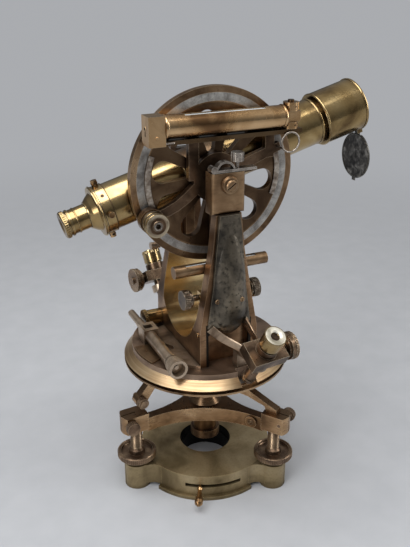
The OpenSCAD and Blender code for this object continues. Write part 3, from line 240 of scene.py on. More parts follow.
def cut_plate(name, body, material, outline, low, high):
    bpy.ops.object.select_all(action="DESELECT")
    bpy.ops.mesh.primitive_circle_add(vertices=len(outline), fill_type="NGON")
    piece = bpy.context.object
    bpy.ops.object.mode_set(mode="EDIT")
    shape = bmesh.from_edit_mesh(piece.data)
    shape.verts.ensure_lookup_table()
    for corner, (x, y) in zip(shape.verts, outline):
        corner.co = (x * MM, y * MM, low * MM)
    bmesh.update_edit_mesh(piece.data)
    bpy.ops.mesh.select_all(action="SELECT")
    bpy.ops.mesh.extrude_region_move(TRANSFORM_OT_translate={"value": (0, 0, (high - low) * MM)})
    bpy.ops.mesh.select_all(action="SELECT")
    bpy.ops.mesh.normals_make_consistent(inside=False)
    settle(piece, name, body, material)


fillet = Vector((FILLET_REACH * math.cos(FILLET_TURN), FILLET_REACH * math.sin(FILLET_TURN)))
start = math.atan2(-fillet.y, -fillet.x)
end = math.atan2(-fillet.y, EAR_REACH - fillet.x)
for number, angle in enumerate(EARS, 1):
    for side, word in ((-1, "right"), (1, "left")):
        outline = [round_base(angle, 66, side * 4), round_base(angle, 66, side * 20)]
        for step in range(FILLET_STEPS + 1):
            at = start + (end - start) * step / FILLET_STEPS
            outline.append(round_base(angle, fillet.x + FILLET_RADIUS * math.cos(at),
                                      side * (fillet.y + FILLET_RADIUS * math.sin(at))))
        outline.append(round_base(angle, EAR_REACH, side * 4))
        cut_plate("base_fillet_%d_%s" % (number, word), "base", olive_brass,
                  outline[::-side], FILLET_FOOT, FILLET_TOP)

# Locking plate and lever: a flat brass ring turned by a spun brass lever with a bulb end.
# The ring stays dark in its slot, the lever is bright from handling.
dark_bronze_and_shade = aged_metal("dark bronze", (0.012, 0.008, 0.005), (0.045, 0.028, 0.017),
                         (0.10, 0.062, 0.035), (0.36, 0.22, 0.11), metallic=0.85,
                         rough=(0.3, 0.55), patches=40, spots=0.5, wear=0.5, corner_shade_strength=0.8)
warm_brass = aged_metal("warm brass", (0.18, 0.098, 0.045), (0.50, 0.305, 0.145),
                        (0.68, 0.455, 0.245), (0.88, 0.70, 0.45), metallic=1.0,
                        rough=(0.2, 0.33), patches=30, spots=0.06, wear=0.6, corner_shade_strength=0.9, bump=0.005)
dress(dark_bronze_and_shade, "locking_plate")
dress(warm_brass, "locking_lever")

# Foot screws: three brass screws that level the instrument, each turned in one with a dished
# head milled round its rim. They have tarnished to a red brown, rubbed bright on the edges.
red_brown = aged_metal("red brown tarnish", (0.050, 0.030, 0.019), (0.190, 0.122, 0.078),
                       (0.38, 0.265, 0.165), (0.64, 0.48, 0.31), metallic=0.9,
                       rough=(0.26, 0.44), patches=60, spots=0.4, wear=0.8, corner_shade_strength=0.85, bump=0.1)
FOOT_HEAD_HEIGHT, THREAD_FOOT, THREAD_TOP = 39, 46, 68.6
THREAD_ROOT, THREAD_VALLEY, THREAD_CREST, THREAD_STEP, THREAD_STEPS = 5.6, 6.0, 6.35, 0.5, 45
UPRIGHT = (0, 0, 1)


def point_along(piece, place, axis):
    turn = Vector(axis).normalized().to_track_quat("Z", "Y").to_matrix().to_4x4()
    piece.matrix_world = Matrix.Translation(Vector(place) * MM) @ turn


def cut_away(piece, cutter):
    cut = piece.modifiers.new("cut", "BOOLEAN")
    cut.object, cut.operation, cut.solver = cutter, "DIFFERENCE", "EXACT"
    bpy.context.view_layer.objects.active = piece
    bpy.ops.object.modifier_apply(modifier="cut")
    bpy.data.objects.remove(cutter, do_unlink=True)


# A toothed ring that stands a little proud of the turned head, with straight milling.
def milled_band(name, body, material, place, axis, radius, length, teeth, depth, bore=0):
    bpy.ops.object.select_all(action="DESELECT")
    bpy.ops.mesh.primitive_cylinder_add(vertices=2 * teeth, radius=(radius + depth) * MM,
                                        depth=length * MM)
    band = bpy.context.object
    bpy.ops.object.mode_set(mode="EDIT")
    shape = bmesh.from_edit_mesh(band.data)
    step = math.pi / teeth
    for corner in shape.verts:
        corner.select = round(math.atan2(corner.co.x, corner.co.y) / step) % 2 == 0
    shape.select_flush_mode()
    bmesh.update_edit_mesh(band.data)
    low = (radius - 0.1) / (radius + depth)
    bpy.ops.transform.resize(value=(low, low, 1))
    bpy.ops.object.mode_set(mode="OBJECT")
    if bore:
        bpy.ops.mesh.primitive_cylinder_add(vertices=48, radius=bore * MM, depth=2 * length * MM)
        cut_away(band, bpy.context.object)
    point_along(band, place, axis)
    settle(band, name, body, material)


# A ring, bead or thread spun from its small profile of (radius, height) points.
def turned_ring(name, body, material, place, axis, profile, steps=72):
    bpy.ops.object.select_all(action="DESELECT")
    bpy.ops.mesh.primitive_circle_add(vertices=len(profile), fill_type="NOTHING")
    ring = bpy.context.object
    bpy.ops.object.mode_set(mode="EDIT")
    shape = bmesh.from_edit_mesh(ring.data)
    shape.verts.ensure_lookup_table()
    for corner, (reach, height) in zip(shape.verts, profile):
        corner.co = (reach * MM, 0, height * MM)
        corner.select = True
    shape.select_flush_mode()
    bmesh.update_edit_mesh(ring.data)
    bpy.ops.mesh.spin(steps=steps, angle=2 * math.pi, center=(0, 0, 0), axis=UPRIGHT)
    bpy.ops.mesh.select_all(action="SELECT")
    bpy.ops.mesh.remove_doubles(threshold=0.00001)
    bpy.ops.mesh.normals_make_consistent(inside=False)
    bpy.ops.object.mode_set(mode="OBJECT")
    bpy.ops.object.shade_smooth_by_angle(angle=math.radians(40))
    point_along(ring, place, axis)
    settle(ring, name, body, material)


dress(red_brown, "foot_screw_1", "foot_screw_2", "foot_screw_3")
thread = [(THREAD_ROOT, THREAD_FOOT)]
for step in range(THREAD_STEPS):
    reach = THREAD_VALLEY if step % 2 else THREAD_CREST
    thread.append((reach, THREAD_FOOT + 0.2 + THREAD_STEP * step))
thread.append((THREAD_ROOT, THREAD_TOP))
for number, angle in enumerate(EARS, 1):
    x, y = round_base(angle, EAR_REACH)
    milled_band("foot_screw_milling_%d" % number, "foot_screw_%d" % number, red_brown,
                (x, y, FOOT_HEAD_HEIGHT), UPRIGHT, radius=20.3, length=5.6, teeth=60, depth=0.35,
                bore=17.0)
    turned_ring("foot_screw_thread_%d" % number, "foot_screw_%d" % number, red_brown,
                (x, y, 0), UPRIGHT, thread, steps=36)

# Pinch screws, centre nut and lower tangent screw: small milled brass heads that close the
# tribrach's split blocks and move the lower clamp, in the same tarnish as the foot screws.
PINCH_HEIGHT, TANGENT_HEIGHT = 80.25, 103


def beside_arm(angle, out, side):
    x, y = round_base(angle, out, side)
    ahead = round_base(angle, out, side + 1)
    return x, y, (ahead[0] - x, ahead[1] - y, 0)


dress(red_brown, "pinch_screws", "centre_nut", "lower_tangent_screw")
for number, angle in enumerate(EARS, 1):
    x, y, axis = beside_arm(angle, 94, 15.2)
    milled_band("pinch_milling_%d" % number, "base", red_brown, (x, y, PINCH_HEIGHT),
                axis, radius=7.0, length=4.6, teeth=26, depth=0.3)
x, y, axis = beside_arm(EARS[1], 79, 8.2)
milled_band("lower_tangent_milling", "lower_tangent_screw", red_brown,
            (x, y, TANGENT_HEIGHT), axis, radius=5.5, length=5.4, teeth=22, depth=0.3)

# Tribrach and lower clamp: three armed bronze castings with split clamp blocks. The brown
# lacquer is rubbed through to copper along the long faces, and the upward faces are painted
# darker as shade.
ALONG_GRAIN = (0.3, 0.3, 1.4)
bronze = aged_metal("bronze", (0.085, 0.048, 0.026), (0.270, 0.165, 0.088), (0.45, 0.300, 0.170),
                    (0.72, 0.52, 0.32), metallic=0.95, rough=(0.24, 0.44), patches=30, spots=0.3,
                    wear=0.8, corner_shade_strength=0.9, grain=ALONG_GRAIN, bump=0.06)
arm_brass = aged_metal("rubbed bronze", (0.09, 0.050, 0.026), (0.340, 0.205, 0.105),
                       (0.56, 0.370, 0.205), (0.80, 0.58, 0.36), metallic=0.95,
                       rough=(0.22, 0.4), patches=26, spots=0.3, wear=0.9, corner_shade_strength=0.9,
                       grain=ALONG_GRAIN, bump=0.04)
tree = arm_brass.node_tree
facing_up = axes(tree, tree.nodes.new("ShaderNodeNewGeometry").outputs["Normal"])[2]
# Painted shade: faces that look upward are darkened toward a dark brown.
paint_over(tree, times(tree, more(tree, facing_up, 0.35), 0.72), (0.07, 0.042, 0.026))
dress(arm_brass, "tribrach", "lower_clamp")


# Screws on the bosses of the tribrach's arms: low bronze heads with a bevelled edge and a sawn
# slot. The same head comes back on the covers, the yoke and the bearing caps.
def slotted_screw(name, body, material, place, axis, radius, height, turn):
    bevel_width, bevel_rise = 0.18 * radius, 0.16 * radius
    bpy.ops.object.select_all(action="DESELECT")
    bpy.ops.mesh.primitive_cylinder_add(vertices=32, radius=radius * MM, depth=height * MM)
    head = bpy.context.object
    bpy.ops.object.mode_set(mode="EDIT")
    shape = bmesh.from_edit_mesh(head.data)
    for face in shape.faces:
        face.select = face.normal.z > 0.9
    bmesh.update_edit_mesh(head.data)
    bpy.ops.mesh.inset(thickness=bevel_width * MM)
    bpy.ops.transform.translate(value=(0, 0, bevel_rise * MM))
    bpy.ops.object.mode_set(mode="OBJECT")
    bpy.ops.mesh.primitive_cube_add(size=MM, location=(0, 0, (height / 2 + bevel_rise) * MM))
    saw = bpy.context.object
    saw.scale = (3 * radius, 0.24 * radius, 0.5 * radius)
    saw.rotation_euler = (0, 0, math.radians(turn))
    cut_away(head, saw)
    point_along(head, place, axis)
    settle(head, name, body, material)


for number, angle in enumerate(EARS, 1):
    x, y, ahead = beside_arm(angle, 60, -6.9)
    slotted_screw("boss_screw_%d" % number, "base", bronze, (x, y, 72),
                  (-ahead[0], -ahead[1], 0), radius=3.4, height=1.4, turn=60)

# Horizontal circle: a turned bronze limb with a silver ring let into its upper face.
# The ring is cut in half degrees, with longer lines at each degree, five and ten. DIVISIONS has
# each line's spacing in degrees and its share of the ring's width.
DIVISIONS = ((0.5, 0.35), (1.0, 0.55), (5.0, 0.8), (10.0, 1.0))
HALF_LINE = 0.055
silver = aged_metal("grained silver", (0.20, 0.18, 0.16), (0.46, 0.44, 0.41), (0.66, 0.64, 0.60),
                    (0.80, 0.78, 0.72), metallic=0.9, rough=(0.3, 0.5), patches=60, spots=0.5,
                    wear=0.3, corner_shade_strength=0.6)


def divided_silver(name, across, middle, inner, outer):
    material = silver.copy()
    material.name = name
    tree = material.node_tree
    place = axes(tree, object_place(tree))
    a, b = place[0], sums(tree, "SUBTRACT", place[across], middle)
    turn = times(tree, sums(tree, "ARCTAN2", b, a), 180 / math.pi)
    reach = radius_of(tree, a, b)
    marks = None
    for spacing, share in DIVISIONS:
        near = less(tree, sums(tree, "PINGPONG", turn, spacing / 2), HALF_LINE)
        line = times(tree, near, less(tree, reach, inner + share * (outer - inner)))
        marks = line if marks is None else sums(tree, "MAXIMUM", marks, line)
    paint_over(tree, times(tree, marks, 0.8), (0.02, 0.018, 0.015))
    return material


dress(bronze, "limb")
dress(divided_silver("divided silver of the horizontal circle", 1, 0.0, 0.0705, 0.0785),
      "horizontal_scale")

# Alidade: the turned cover of the circle with its bevel, the inner axis under it and the thin
# cover on it. The bevel is turned bright, in fine rings round the axis.
BEVEL_RADIUS = 0.0777
plate_brass = aged_metal("plate brass", (0.10, 0.065, 0.044), (0.290, 0.200, 0.140),
                         (0.45, 0.33, 0.235), (0.70, 0.52, 0.34), metallic=0.9,
                         rough=(0.34, 0.46), patches=26, spots=0.1, wear=0.7, corner_shade_strength=0.9, bump=0.004)
tree = plate_brass.node_tree
shader = tree.nodes["Principled BSDF"]
place = object_place(tree)
x, y, z = axes(tree, place)
reach = radius_of(tree, x, y)
rings = tree.nodes.new("ShaderNodeCombineXYZ")
tree.links.new(times(tree, reach, 9.0), rings.inputs["X"])
tree.links.new(times(tree, x, 0.3), rings.inputs["Y"])
streaks = cloud(tree, rings.outputs[0], 70, 3)
patch = cloud(tree, place, 22, 3)
gold = ramp(tree, sums(tree, "MULTIPLY_ADD", streaks, 0.5, times(tree, patch, 0.5)),
            [(0.36, (0.30, 0.185, 0.100)), (0.5, (0.47, 0.325, 0.180)), (0.64, (0.60, 0.45, 0.28))])
bevel = more(tree, reach, BEVEL_RADIUS)
paint_over(tree, bevel, gold)
plain_rough = shader.inputs["Roughness"].links[0].from_socket
tree.links.new(sums(tree, "ADD", times(tree, bevel, -0.08), plain_rough),
               shader.inputs["Roughness"])
shader.inputs["Anisotropic"].default_value = 0.5
around = tree.nodes.new("ShaderNodeTangent")
around.direction_type = "RADIAL"
around.axis = "Z"
tree.links.new(around.outputs["Tangent"], shader.inputs["Tangent"])
dress(plate_brass, "alidade_plate")
dress(dark_bronze_and_shade, "alidade_axis")
dress(bronze, "plate_cover")

# Yoke: the two standards and the floor between them in one casting, screwed at its foot.
# The round inner faces are polished to gold, the strip behind and below each cover is painted
# black as the shadow under it, and the rest is brown.
SIDES = ((-1, "front"), (1, "back"))
HOLLOW_HEIGHT, HOLLOW_RADIUS, POLISH_FULL, POLISH_NONE = 0.2106, 0.0433, 0.225, 0.255
SHADE_STRIP_DEPTH, SHADE_STRIP_HALF, SHADE_STRIP_TOP = 0.0525, 0.0245, 0.2
yoke_bronze = aged_metal("yoke bronze", (0.075, 0.040, 0.022), (0.250, 0.145, 0.078),
                         (0.42, 0.260, 0.145), (0.72, 0.50, 0.32), metallic=0.95,
                         rough=(0.24, 0.42), patches=30, spots=0.35, wear=0.85, corner_shade_strength=0.9,
                         grain=ALONG_GRAIN, bump=0.06)
tree = yoke_bronze.node_tree
shader = tree.nodes["Principled BSDF"]
place = object_place(tree)
x, y, z = axes(tree, place)
below = sums(tree, "MINIMUM", sums(tree, "SUBTRACT", z, HOLLOW_HEIGHT), 0.0)
inner = less(tree, radius_of(tree, y, below), HOLLOW_RADIUS)
polished = times(tree, inner, spread(tree, z, POLISH_NONE, POLISH_FULL))
gold = ramp(tree, cloud(tree, place, 38, 4, 0.8),
            [(0.3, (0.55, 0.33, 0.13)), (0.55, (0.82, 0.60, 0.30)), (0.75, (0.90, 0.72, 0.44))])
paint_over(tree, polished, gold)
smooth = times(tree, shader.inputs["Roughness"].links[0].from_socket,
               sums(tree, "MULTIPLY_ADD", polished, -0.45, 1.0))
tree.links.new(smooth, shader.inputs["Roughness"])
# Painted shadow: the outer strip of each standard below the cover's top is painted near black.
painted = times(tree, more(tree, sums(tree, "ABSOLUTE", y), SHADE_STRIP_DEPTH),
                less(tree, sums(tree, "ABSOLUTE", x), SHADE_STRIP_HALF))
paint_over(tree, times(tree, painted, less(tree, z, SHADE_STRIP_TOP)), (0.02, 0.017, 0.014))
dress(yoke_bronze, "standards")
for side, word in SIDES:
    slotted_screw("yoke_screw_" + word, "alidade", warm_brass,
                  (side * 31.2, side * 50.7, 189), (side, 0, 0), radius=2.7, height=1.4, turn=35)

# Bearing blocks: cast bronze boxes with rounded outer corners, bored for the trunnions and
# closed by round caps, each held by one slotted screw.
TRUNNION_HEIGHT, TRUNNION_BORE = 337, 8.04
BLOCK_SIZE, BLOCK_OUT, BLOCK_HEIGHT, BLOCK_CORNER = (34, 15, 39), 46, 328.5, 4.2
dress(bronze, "bearing_blocks", "bearing_caps")
for side, word in SIDES:
    bpy.ops.object.select_all(action="DESELECT")
    bpy.ops.mesh.primitive_cube_add(size=MM, location=(0, side * BLOCK_OUT * MM, BLOCK_HEIGHT * MM))
    block = bpy.context.object
    block.scale = BLOCK_SIZE
    bpy.ops.object.transform_apply(location=True, rotation=True, scale=True)
    bpy.ops.object.mode_set(mode="EDIT")
    shape = bmesh.from_edit_mesh(block.data)
    for edge in shape.edges:
        ends = [corner.co for corner in edge.verts]
        outer = all(abs(end.y) > BLOCK_OUT * MM for end in ends)
        low_edge = max(end.z for end in ends) < BLOCK_HEIGHT * MM
        edge.select = outer and (low_edge or ends[0].x == ends[1].x)
    bmesh.update_edit_mesh(block.data)
    bpy.ops.mesh.bevel(offset=BLOCK_CORNER * MM, segments=6)
    bpy.ops.object.mode_set(mode="OBJECT")
    bpy.ops.object.shade_smooth_by_angle(angle=math.radians(40))
    bpy.ops.mesh.primitive_cylinder_add(
        vertices=64, radius=TRUNNION_BORE * MM, depth=40 * MM, rotation=(math.pi / 2, 0, 0),
        location=(0, side * BLOCK_OUT * MM, TRUNNION_HEIGHT * MM))
    cut_away(block, bpy.context.object)
    settle(block, "bearing_block_" + word, "alidade", bronze)
    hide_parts("bearing_blocks")
    slotted_screw("bearing_cap_screw_" + word, "alidade", bronze,
                  (0, side * 57.6, TRUNNION_HEIGHT), (0, side, 0), radius=5.4, height=1.4,
                  turn=35)

# Covers over the hollow of each standard: cast panels in black crackle paint. Each bellies out
# over the plate at its lower end, and two flat screws with a sawn slot hold it there.
BELLY_MIDDLE, BELLY_HALF, BELLY_STRETCH, BELLY_FLAT = (1, 50, 212), (19.5, 15.5, 27), 3.3, 0.3
BELLY_TOP, COVER_SCREW_HEIGHT = 89, 225
crackle = aged_metal("crackle paint", (0.014, 0.012, 0.009), (0.095, 0.079, 0.058),
                     (0.22, 0.185, 0.135), (0.45, 0.37, 0.26), metallic=0.6, rough=(0.24, 0.42),
                     patches=30, spots=0.9, wear=0.7, corner_shade_strength=1.0, grain=(0.6, 0.6, 0.6), bump=1.0)
dress(crackle, "standard_covers")
for side, word in SIDES:
    bpy.ops.object.select_all(action="DESELECT")
    bpy.ops.mesh.primitive_uv_sphere_add(
        segments=48, ring_count=28, radius=MM,
        location=(BELLY_MIDDLE[0] * MM, side * BELLY_MIDDLE[1] * MM, BELLY_MIDDLE[2] * MM))
    belly = bpy.context.object
    bpy.ops.object.shade_smooth()
    bpy.ops.object.mode_set(mode="EDIT")
    shape = bmesh.from_edit_mesh(belly.data)
    for corner in shape.verts:
        corner.co.z *= BELLY_STRETCH if corner.co.z > 0 else 1
        corner.co.y *= BELLY_FLAT if corner.co.y * side < 0 else 1
    bmesh.update_edit_mesh(belly.data)
    bpy.ops.object.mode_set(mode="OBJECT")
    belly.scale = BELLY_HALF
    settle(belly, "cover_belly_" + word, "alidade", crackle)
    for number, (x, turn) in enumerate(((-14, 20), (10, 75)), 1):
        across = (x - BELLY_MIDDLE[0]) / BELLY_HALF[0]
        up = (COVER_SCREW_HEIGHT - BELLY_MIDDLE[2]) / BELLY_TOP
        rise = BELLY_HALF[1] * math.sqrt(1 - across ** 2 - up ** 2)
        slotted_screw("cover_screw_%s_%d" % (word, number), "alidade", bronze,
                      (x, side * (BELLY_MIDDLE[1] + rise - 0.2), COVER_SCREW_HEIGHT),
                      (x * 0.011, side, 0), radius=2.6, height=1.2, turn=turn)

# Levels' glass, plate level and telescope clamp arm: a frosted vial in a bronze case on the
# plate, and the bronze arm that holds the telescope's slow motion.
frosted_glass, tree, shader, place = start_material("frosted glass")
shader.inputs["Transmission Weight"].default_value = 0.25
shader.inputs["IOR"].default_value = 1.5
shader.inputs["Roughness"].default_value = 0.08
tree.links.new(ramp(tree, cloud(tree, place, 70), [(0.3, (0.50, 0.54, 0.56)),
                                                   (0.7, (0.72, 0.75, 0.76))]),
               shader.inputs["Base Color"])
dress(frosted_glass, "plate_level_vial", "level_vial")
dress(bronze, "plate_level_case", "telescope_clamp_arm")

# Clamp and tangent screws of the alidade: turned brass screws with milled heads, worn pale by
# fingers. The upper tangent screw turns in its bracket on the plate.
ALONG_X, ALONG_Y = (1, 0, 0), (0, 1, 0)
pale_brass = aged_metal("pale worn brass", (0.14, 0.095, 0.062), (0.44, 0.330, 0.235),
                        (0.60, 0.480, 0.360), (0.80, 0.69, 0.52), metallic=0.9,
                        rough=(0.26, 0.44), patches=34, spots=0.25, wear=0.85, corner_shade_strength=0.95,
                        bump=0.05)
yellow_brass = aged_metal("yellow brass", (0.11, 0.066, 0.029), (0.38, 0.262, 0.115),
                          (0.56, 0.420, 0.212), (0.88, 0.74, 0.48), metallic=1.0,
                          rough=(0.15, 0.27), patches=26, spots=0.04, wear=0.7, corner_shade_strength=0.95,
                          bump=0.003)
dress(pale_brass, "tangent_bracket", "upper_tangent_screw", "telescope_tangent_screw")
dress(yellow_brass, "upper_clamp_knob")
milled_band("upper_tangent_milling", "upper_tangent_screw", pale_brass,
            (-57, -61, 163.2), ALONG_Y, radius=9.5, length=4.6, teeth=34, depth=0.3, bore=7.2)
milled_band("upper_tangent_collar_milling", "upper_tangent_screw", pale_brass,
            (-57, -53.6, 163.2), ALONG_Y, radius=8.5, length=3.4, teeth=32, depth=0.25)
milled_band("upper_clamp_milling", "upper_clamp_knob", yellow_brass,
            (-49.3, 50, 164.7), ALONG_X, radius=9.5, length=3.4, teeth=34, depth=0.3)

# Clip screws and trunnion clips: blackened milled screws that set the index frame, and thin
# silvered clips with thumbscrews that hold the trunnions down.
black_silver = aged_metal("blackened silver", (0.022, 0.016, 0.011), (0.125, 0.090, 0.064),
                          (0.29, 0.220, 0.155), (0.82, 0.72, 0.56), metallic=0.95,
                          rough=(0.2, 0.4), patches=46, spots=0.3, wear=1.0, corner_shade_strength=0.9, bump=0.04)
worn_silver = aged_metal("worn silver", (0.13, 0.105, 0.085), (0.36, 0.310, 0.265),
                         (0.58, 0.52, 0.46), (0.90, 0.86, 0.78), metallic=0.95,
                         rough=(0.2, 0.38), patches=60, spots=0.3, wear=0.8, corner_shade_strength=0.9, bump=0.05)
dress(black_silver, "clip_screw_left", "clip_screw_right")
dress(worn_silver, "trunnion_clip_front", "trunnion_clip_back", "clip_thumbscrew_front",
      "clip_thumbscrew_back")
for side, word in ((-1, "left"), (1, "right")):
    milled_band("clip_screw_milling_" + word, "clip_screw_" + word, black_silver,
                (side * 37.5, -36, 221.6), ALONG_X, radius=9.5, length=4.6, teeth=36, depth=0.3)

# Microscopes that read the circle: bronze boxes on leaning tubes, with a knurled micrometer
# drum at the side and a pale eyepiece on top. Their brackets are pale brass.
DRUM_UP, DRUM_OUT, EYE_UP = 55, 29.8, 85
MICROSCOPE_LEAN = math.radians(32.5)
box_bronze = aged_metal("microscope bronze", (0.07, 0.044, 0.027), (0.250, 0.165, 0.105),
                        (0.41, 0.29, 0.185), (0.84, 0.72, 0.52), metallic=0.92,
                        rough=(0.2, 0.38), patches=40, spots=0.3, wear=1.0, corner_shade_strength=0.95, bump=0.05)
eye_silver = aged_metal("eyepiece silver", (0.30, 0.27, 0.20), (0.62, 0.58, 0.48),
                        (0.78, 0.75, 0.66), (0.88, 0.86, 0.80), metallic=0.5,
                        rough=(0.3, 0.5), patches=60, spots=0.2, wear=0.3, corner_shade_strength=0.5, bump=0.03)
dress(pale_brass, "microscope_brackets")
dress(box_bronze, "microscopes", "micrometer_drum_a", "micrometer_drum_b")
dress(yellow_brass, "microscope_eyepiece_a", "microscope_eyepiece_b")
for turn, word in ((6.5, "a"), (186.5, "b")):
    spin = Matrix.Rotation(math.radians(turn), 3, "Z")
    foot = spin @ Vector((0, -77.5, 0)) + Vector((0, 0, 141))
    lean = spin @ Vector((0, -math.sin(MICROSCOPE_LEAN), math.cos(MICROSCOPE_LEAN)))
    across = spin @ Vector(ALONG_X)
    milled_band("drum_milling_" + word, "micrometer_" + word, box_bronze,
                foot + lean * DRUM_UP + across * DRUM_OUT, across, radius=13.5, length=2.6,
                teeth=60, depth=0.15)
    eyepiece = "microscope_eyepiece_" + word
    milled_band("microscope_eyepiece_milling_" + word, eyepiece, yellow_brass,
                foot + lean * (EYE_UP - 2.4), lean, radius=10.5, length=2.6, teeth=48,
                depth=0.12, bore=9.0)
    turned_ring("microscope_eye_ring_" + word, eyepiece, eye_silver,
                foot + lean * EYE_UP, lean,
                [(4.4, -1.6), (9.6, -0.6), (9.6, 0.3), (9.0, 0.5), (6.0, 0.5), (4.4, -0.6)])
    # Painted shade: a dark disc inside the eyepiece stands for the shade down its tube.
    turned_ring("microscope_eye_shade_disc_" + word, eyepiece, dark_bronze_and_shade,
                foot + lean * (EYE_UP - 2.6), lean,
                [(0.4, -0.4), (5.0, -0.4), (5.0, 0.4), (2.0, 0.4), (0.4, 0.1)])


# Curved arms that steady the microscopes, from the foot of each standard to the microscope's
# collar: flat brass straps on edge, bent by hand and polished on top.
def strap(name, body, material, points, half_width, thickness):
    bpy.ops.object.select_all(action="DESELECT")
    bpy.ops.curve.primitive_nurbs_path_add(location=(0, 0, 0))
    path = bpy.context.object
    spline = path.data.splines[0]
    for knot, point in zip(spline.points, points):
        knot.co = (point[0] * MM, point[1] * MM, point[2] * MM, 1)
    spline.use_endpoint_u = True
    spline.order_u = 4
    spline.resolution_u = 10
    path.data.dimensions = "3D"
    path.data.twist_mode = "Z_UP"
    path.data.extrude = half_width * MM
    path.data.bevel_depth = thickness / 2 * MM
    path.data.bevel_resolution = 2
    path.data.use_fill_caps = True
    bpy.ops.object.convert(target="MESH")
    settle(bpy.context.object, name, body, material)


ARM_ROUTE = ((-21, -58, 197), (-15, -61, 190), (-6, -67, 184), (2, -78, 181), (4, -87, 180))
BRACE_ROUTE = ((16, -57.5, 200), (18, -62, 194), (19, -70, 189), (19, -79, 186), (17, -87, 184))
for turn, word in ((0, "front"), (180, "back")):
    spin = Matrix.Rotation(math.radians(turn), 3, "Z")
    strap("microscope_arm_" + word, "alidade", pale_brass,
          [spin @ Vector(point) for point in ARM_ROUTE], half_width=3.4, thickness=2.2)
    strap("microscope_brace_" + word, "alidade", box_bronze,
          [spin @ Vector(point) for point in BRACE_ROUTE], half_width=3.2, thickness=2.6)

# Telescope centre and vertical circle: sleeve and trunnions in one casting with the spoked
# wheel, darkened inside its rim by painted shade. A divided silver ring is let into the wheel's
# front face.
WITHIN_RIM = 0.0685
circle_bronze = aged_metal("circle bronze", (0.075, 0.042, 0.023), (0.250, 0.155, 0.085),
                           (0.43, 0.290, 0.170), (0.76, 0.56, 0.36), metallic=0.95,
                           rough=(0.24, 0.42), patches=30, spots=0.3, wear=0.9, corner_shade_strength=0.95,
                           bump=0.05)
tree = circle_bronze.node_tree
x, y, z = axes(tree, object_place(tree))
rise = sums(tree, "SUBTRACT", z, TRUNNION_HEIGHT * MM)
# Painted shade: the wheel inside its rim is darkened toward a dark brown.
within = times(tree, less(tree, radius_of(tree, x, rise), WITHIN_RIM), 0.6)
paint_over(tree, within, (0.05, 0.03, 0.018))
dress(circle_bronze, "telescope_centre", "vertical_circle")
dress(divided_silver("divided silver of the vertical circle", 2, TRUNNION_HEIGHT * MM,
                     0.0705, 0.077), "circle_scale")

# Telescope tube, dew cap and eyepiece: drawn brass tubes, still yellow, with the beads and
# rims that the lathe left where each slides or screws into the next.
TUBE_SIDE, TUBE_LIFT = 11, math.radians(15.7)
TUBE_BEADS = (
    ("dew_cap_rim", "object_slide", 180.6, 27.0, 2.4),
    ("dew_cap_back_rim", "object_slide", 135.4, 26.7, 1.6),
    ("tube_front_rim", "telescope", 129.6, 23.4, 2.6),
    ("tube_step_rim", "telescope", 25.2, 23.3, 1.6),
    ("sleeve_front_rim", "telescope", 22.6, 24.3, 1.8),
    ("sleeve_back_rim", "telescope", -22.6, 24.3, 1.8),
    ("eye_flange_bead", "telescope", -110.5, 24.0, 1.4),
    ("eyepiece_bead", "telescope_eyepiece", -132, 11.7, 1.6))


def on_tube(along, side=0.0, up=0.0):
    return Vector((along * math.cos(TUBE_LIFT) - up * math.sin(TUBE_LIFT), TUBE_SIDE + side,
                   TRUNNION_HEIGHT + along * math.sin(TUBE_LIFT) + up * math.cos(TUBE_LIFT)))


def bead(radius, width, depth=1.0):
    half = width / 2
    return [(radius - depth, -half), (radius + 0.55, 0.12 - half), (radius + 0.85, -0.2),
            (radius + 0.85, 0.2), (radius + 0.55, half - 0.12), (radius - depth, half)]


dress(yellow_brass, "telescope_tube", "eyepiece_mount", "telescope_eyepiece", "dew_cap")
tube_line = on_tube(1) - on_tube(0)
for name, body, along, radius, width in TUBE_BEADS:
    turned_ring(name, body, yellow_brass, on_tube(along), tube_line,
                bead(radius, width))
milled_band("eyepiece_milling", "telescope_eyepiece", yellow_brass,
            on_tube(-143.2), tube_line, radius=13.0, length=3.0, teeth=44, depth=0.2, bore=9.5)

# Collar of the cross hairs: two grooves turned round the tube, four capstan screws that centre
# the hairs, each with four holes for a pin, and four small holes between them. The grooves and
# holes are dark rings and discs, painted shade.
COLLAR, SCREW_OUT, HOLE_OUT, COLLAR_RADIUS = -104, 26.4, 2.9, 23.5
dress(warm_brass, "reticle_screws")
# Painted shade: dark bands stand for the shade in the two grooves.
for number, along in enumerate((-99.4, -108.8), 1):
    turned_ring("collar_groove_%d" % number, "telescope", dark_bronze_and_shade, on_tube(along),
                tube_line, [(22.9, -0.4), (23.75, -0.4), (23.75, 0.4), (22.9, 0.4)])
for number, angle in enumerate((-5, 85, 175, 265), 1):
    turn = math.radians(angle)
    out = on_tube(0, -math.sin(turn), math.cos(turn)) - on_tube(0)
    around = tube_line.cross(out)
    for step, way in enumerate((tube_line, -tube_line, around, -around), 1):
        # Painted shade: dark discs stand for the shade in the pin holes and the small holes.
        turned_ring("cross_hair_hole_%d_%d" % (number, step), "telescope", dark_bronze_and_shade,
                    on_tube(COLLAR) + out * SCREW_OUT + way * HOLE_OUT, way,
                    [(0.1, -0.4), (1.2, -0.4), (1.2, 0.25), (0.1, 0.25)], steps=16)
    between = (out + around).normalized()
    turned_ring("collar_hole_%d" % number, "telescope", dark_bronze_and_shade,
                on_tube(COLLAR) + between * COLLAR_RADIUS, between,
                [(0.1, -0.6), (1.7, -0.6), (1.7, 0.25), (0.1, 0.25)], steps=24)

# Focusing knob: a milled brass head on the pinion that drives the draw tube. It stands on the
# far side of the tube, and its brass is warmer than the tube's.
dress(warm_brass, "focus_knob")
milled_band("focus_milling", "focus_knob", warm_brass, on_tube(74, 31.2), ALONG_Y,
            radius=8.0, length=5.0, teeth=30, depth=0.3)

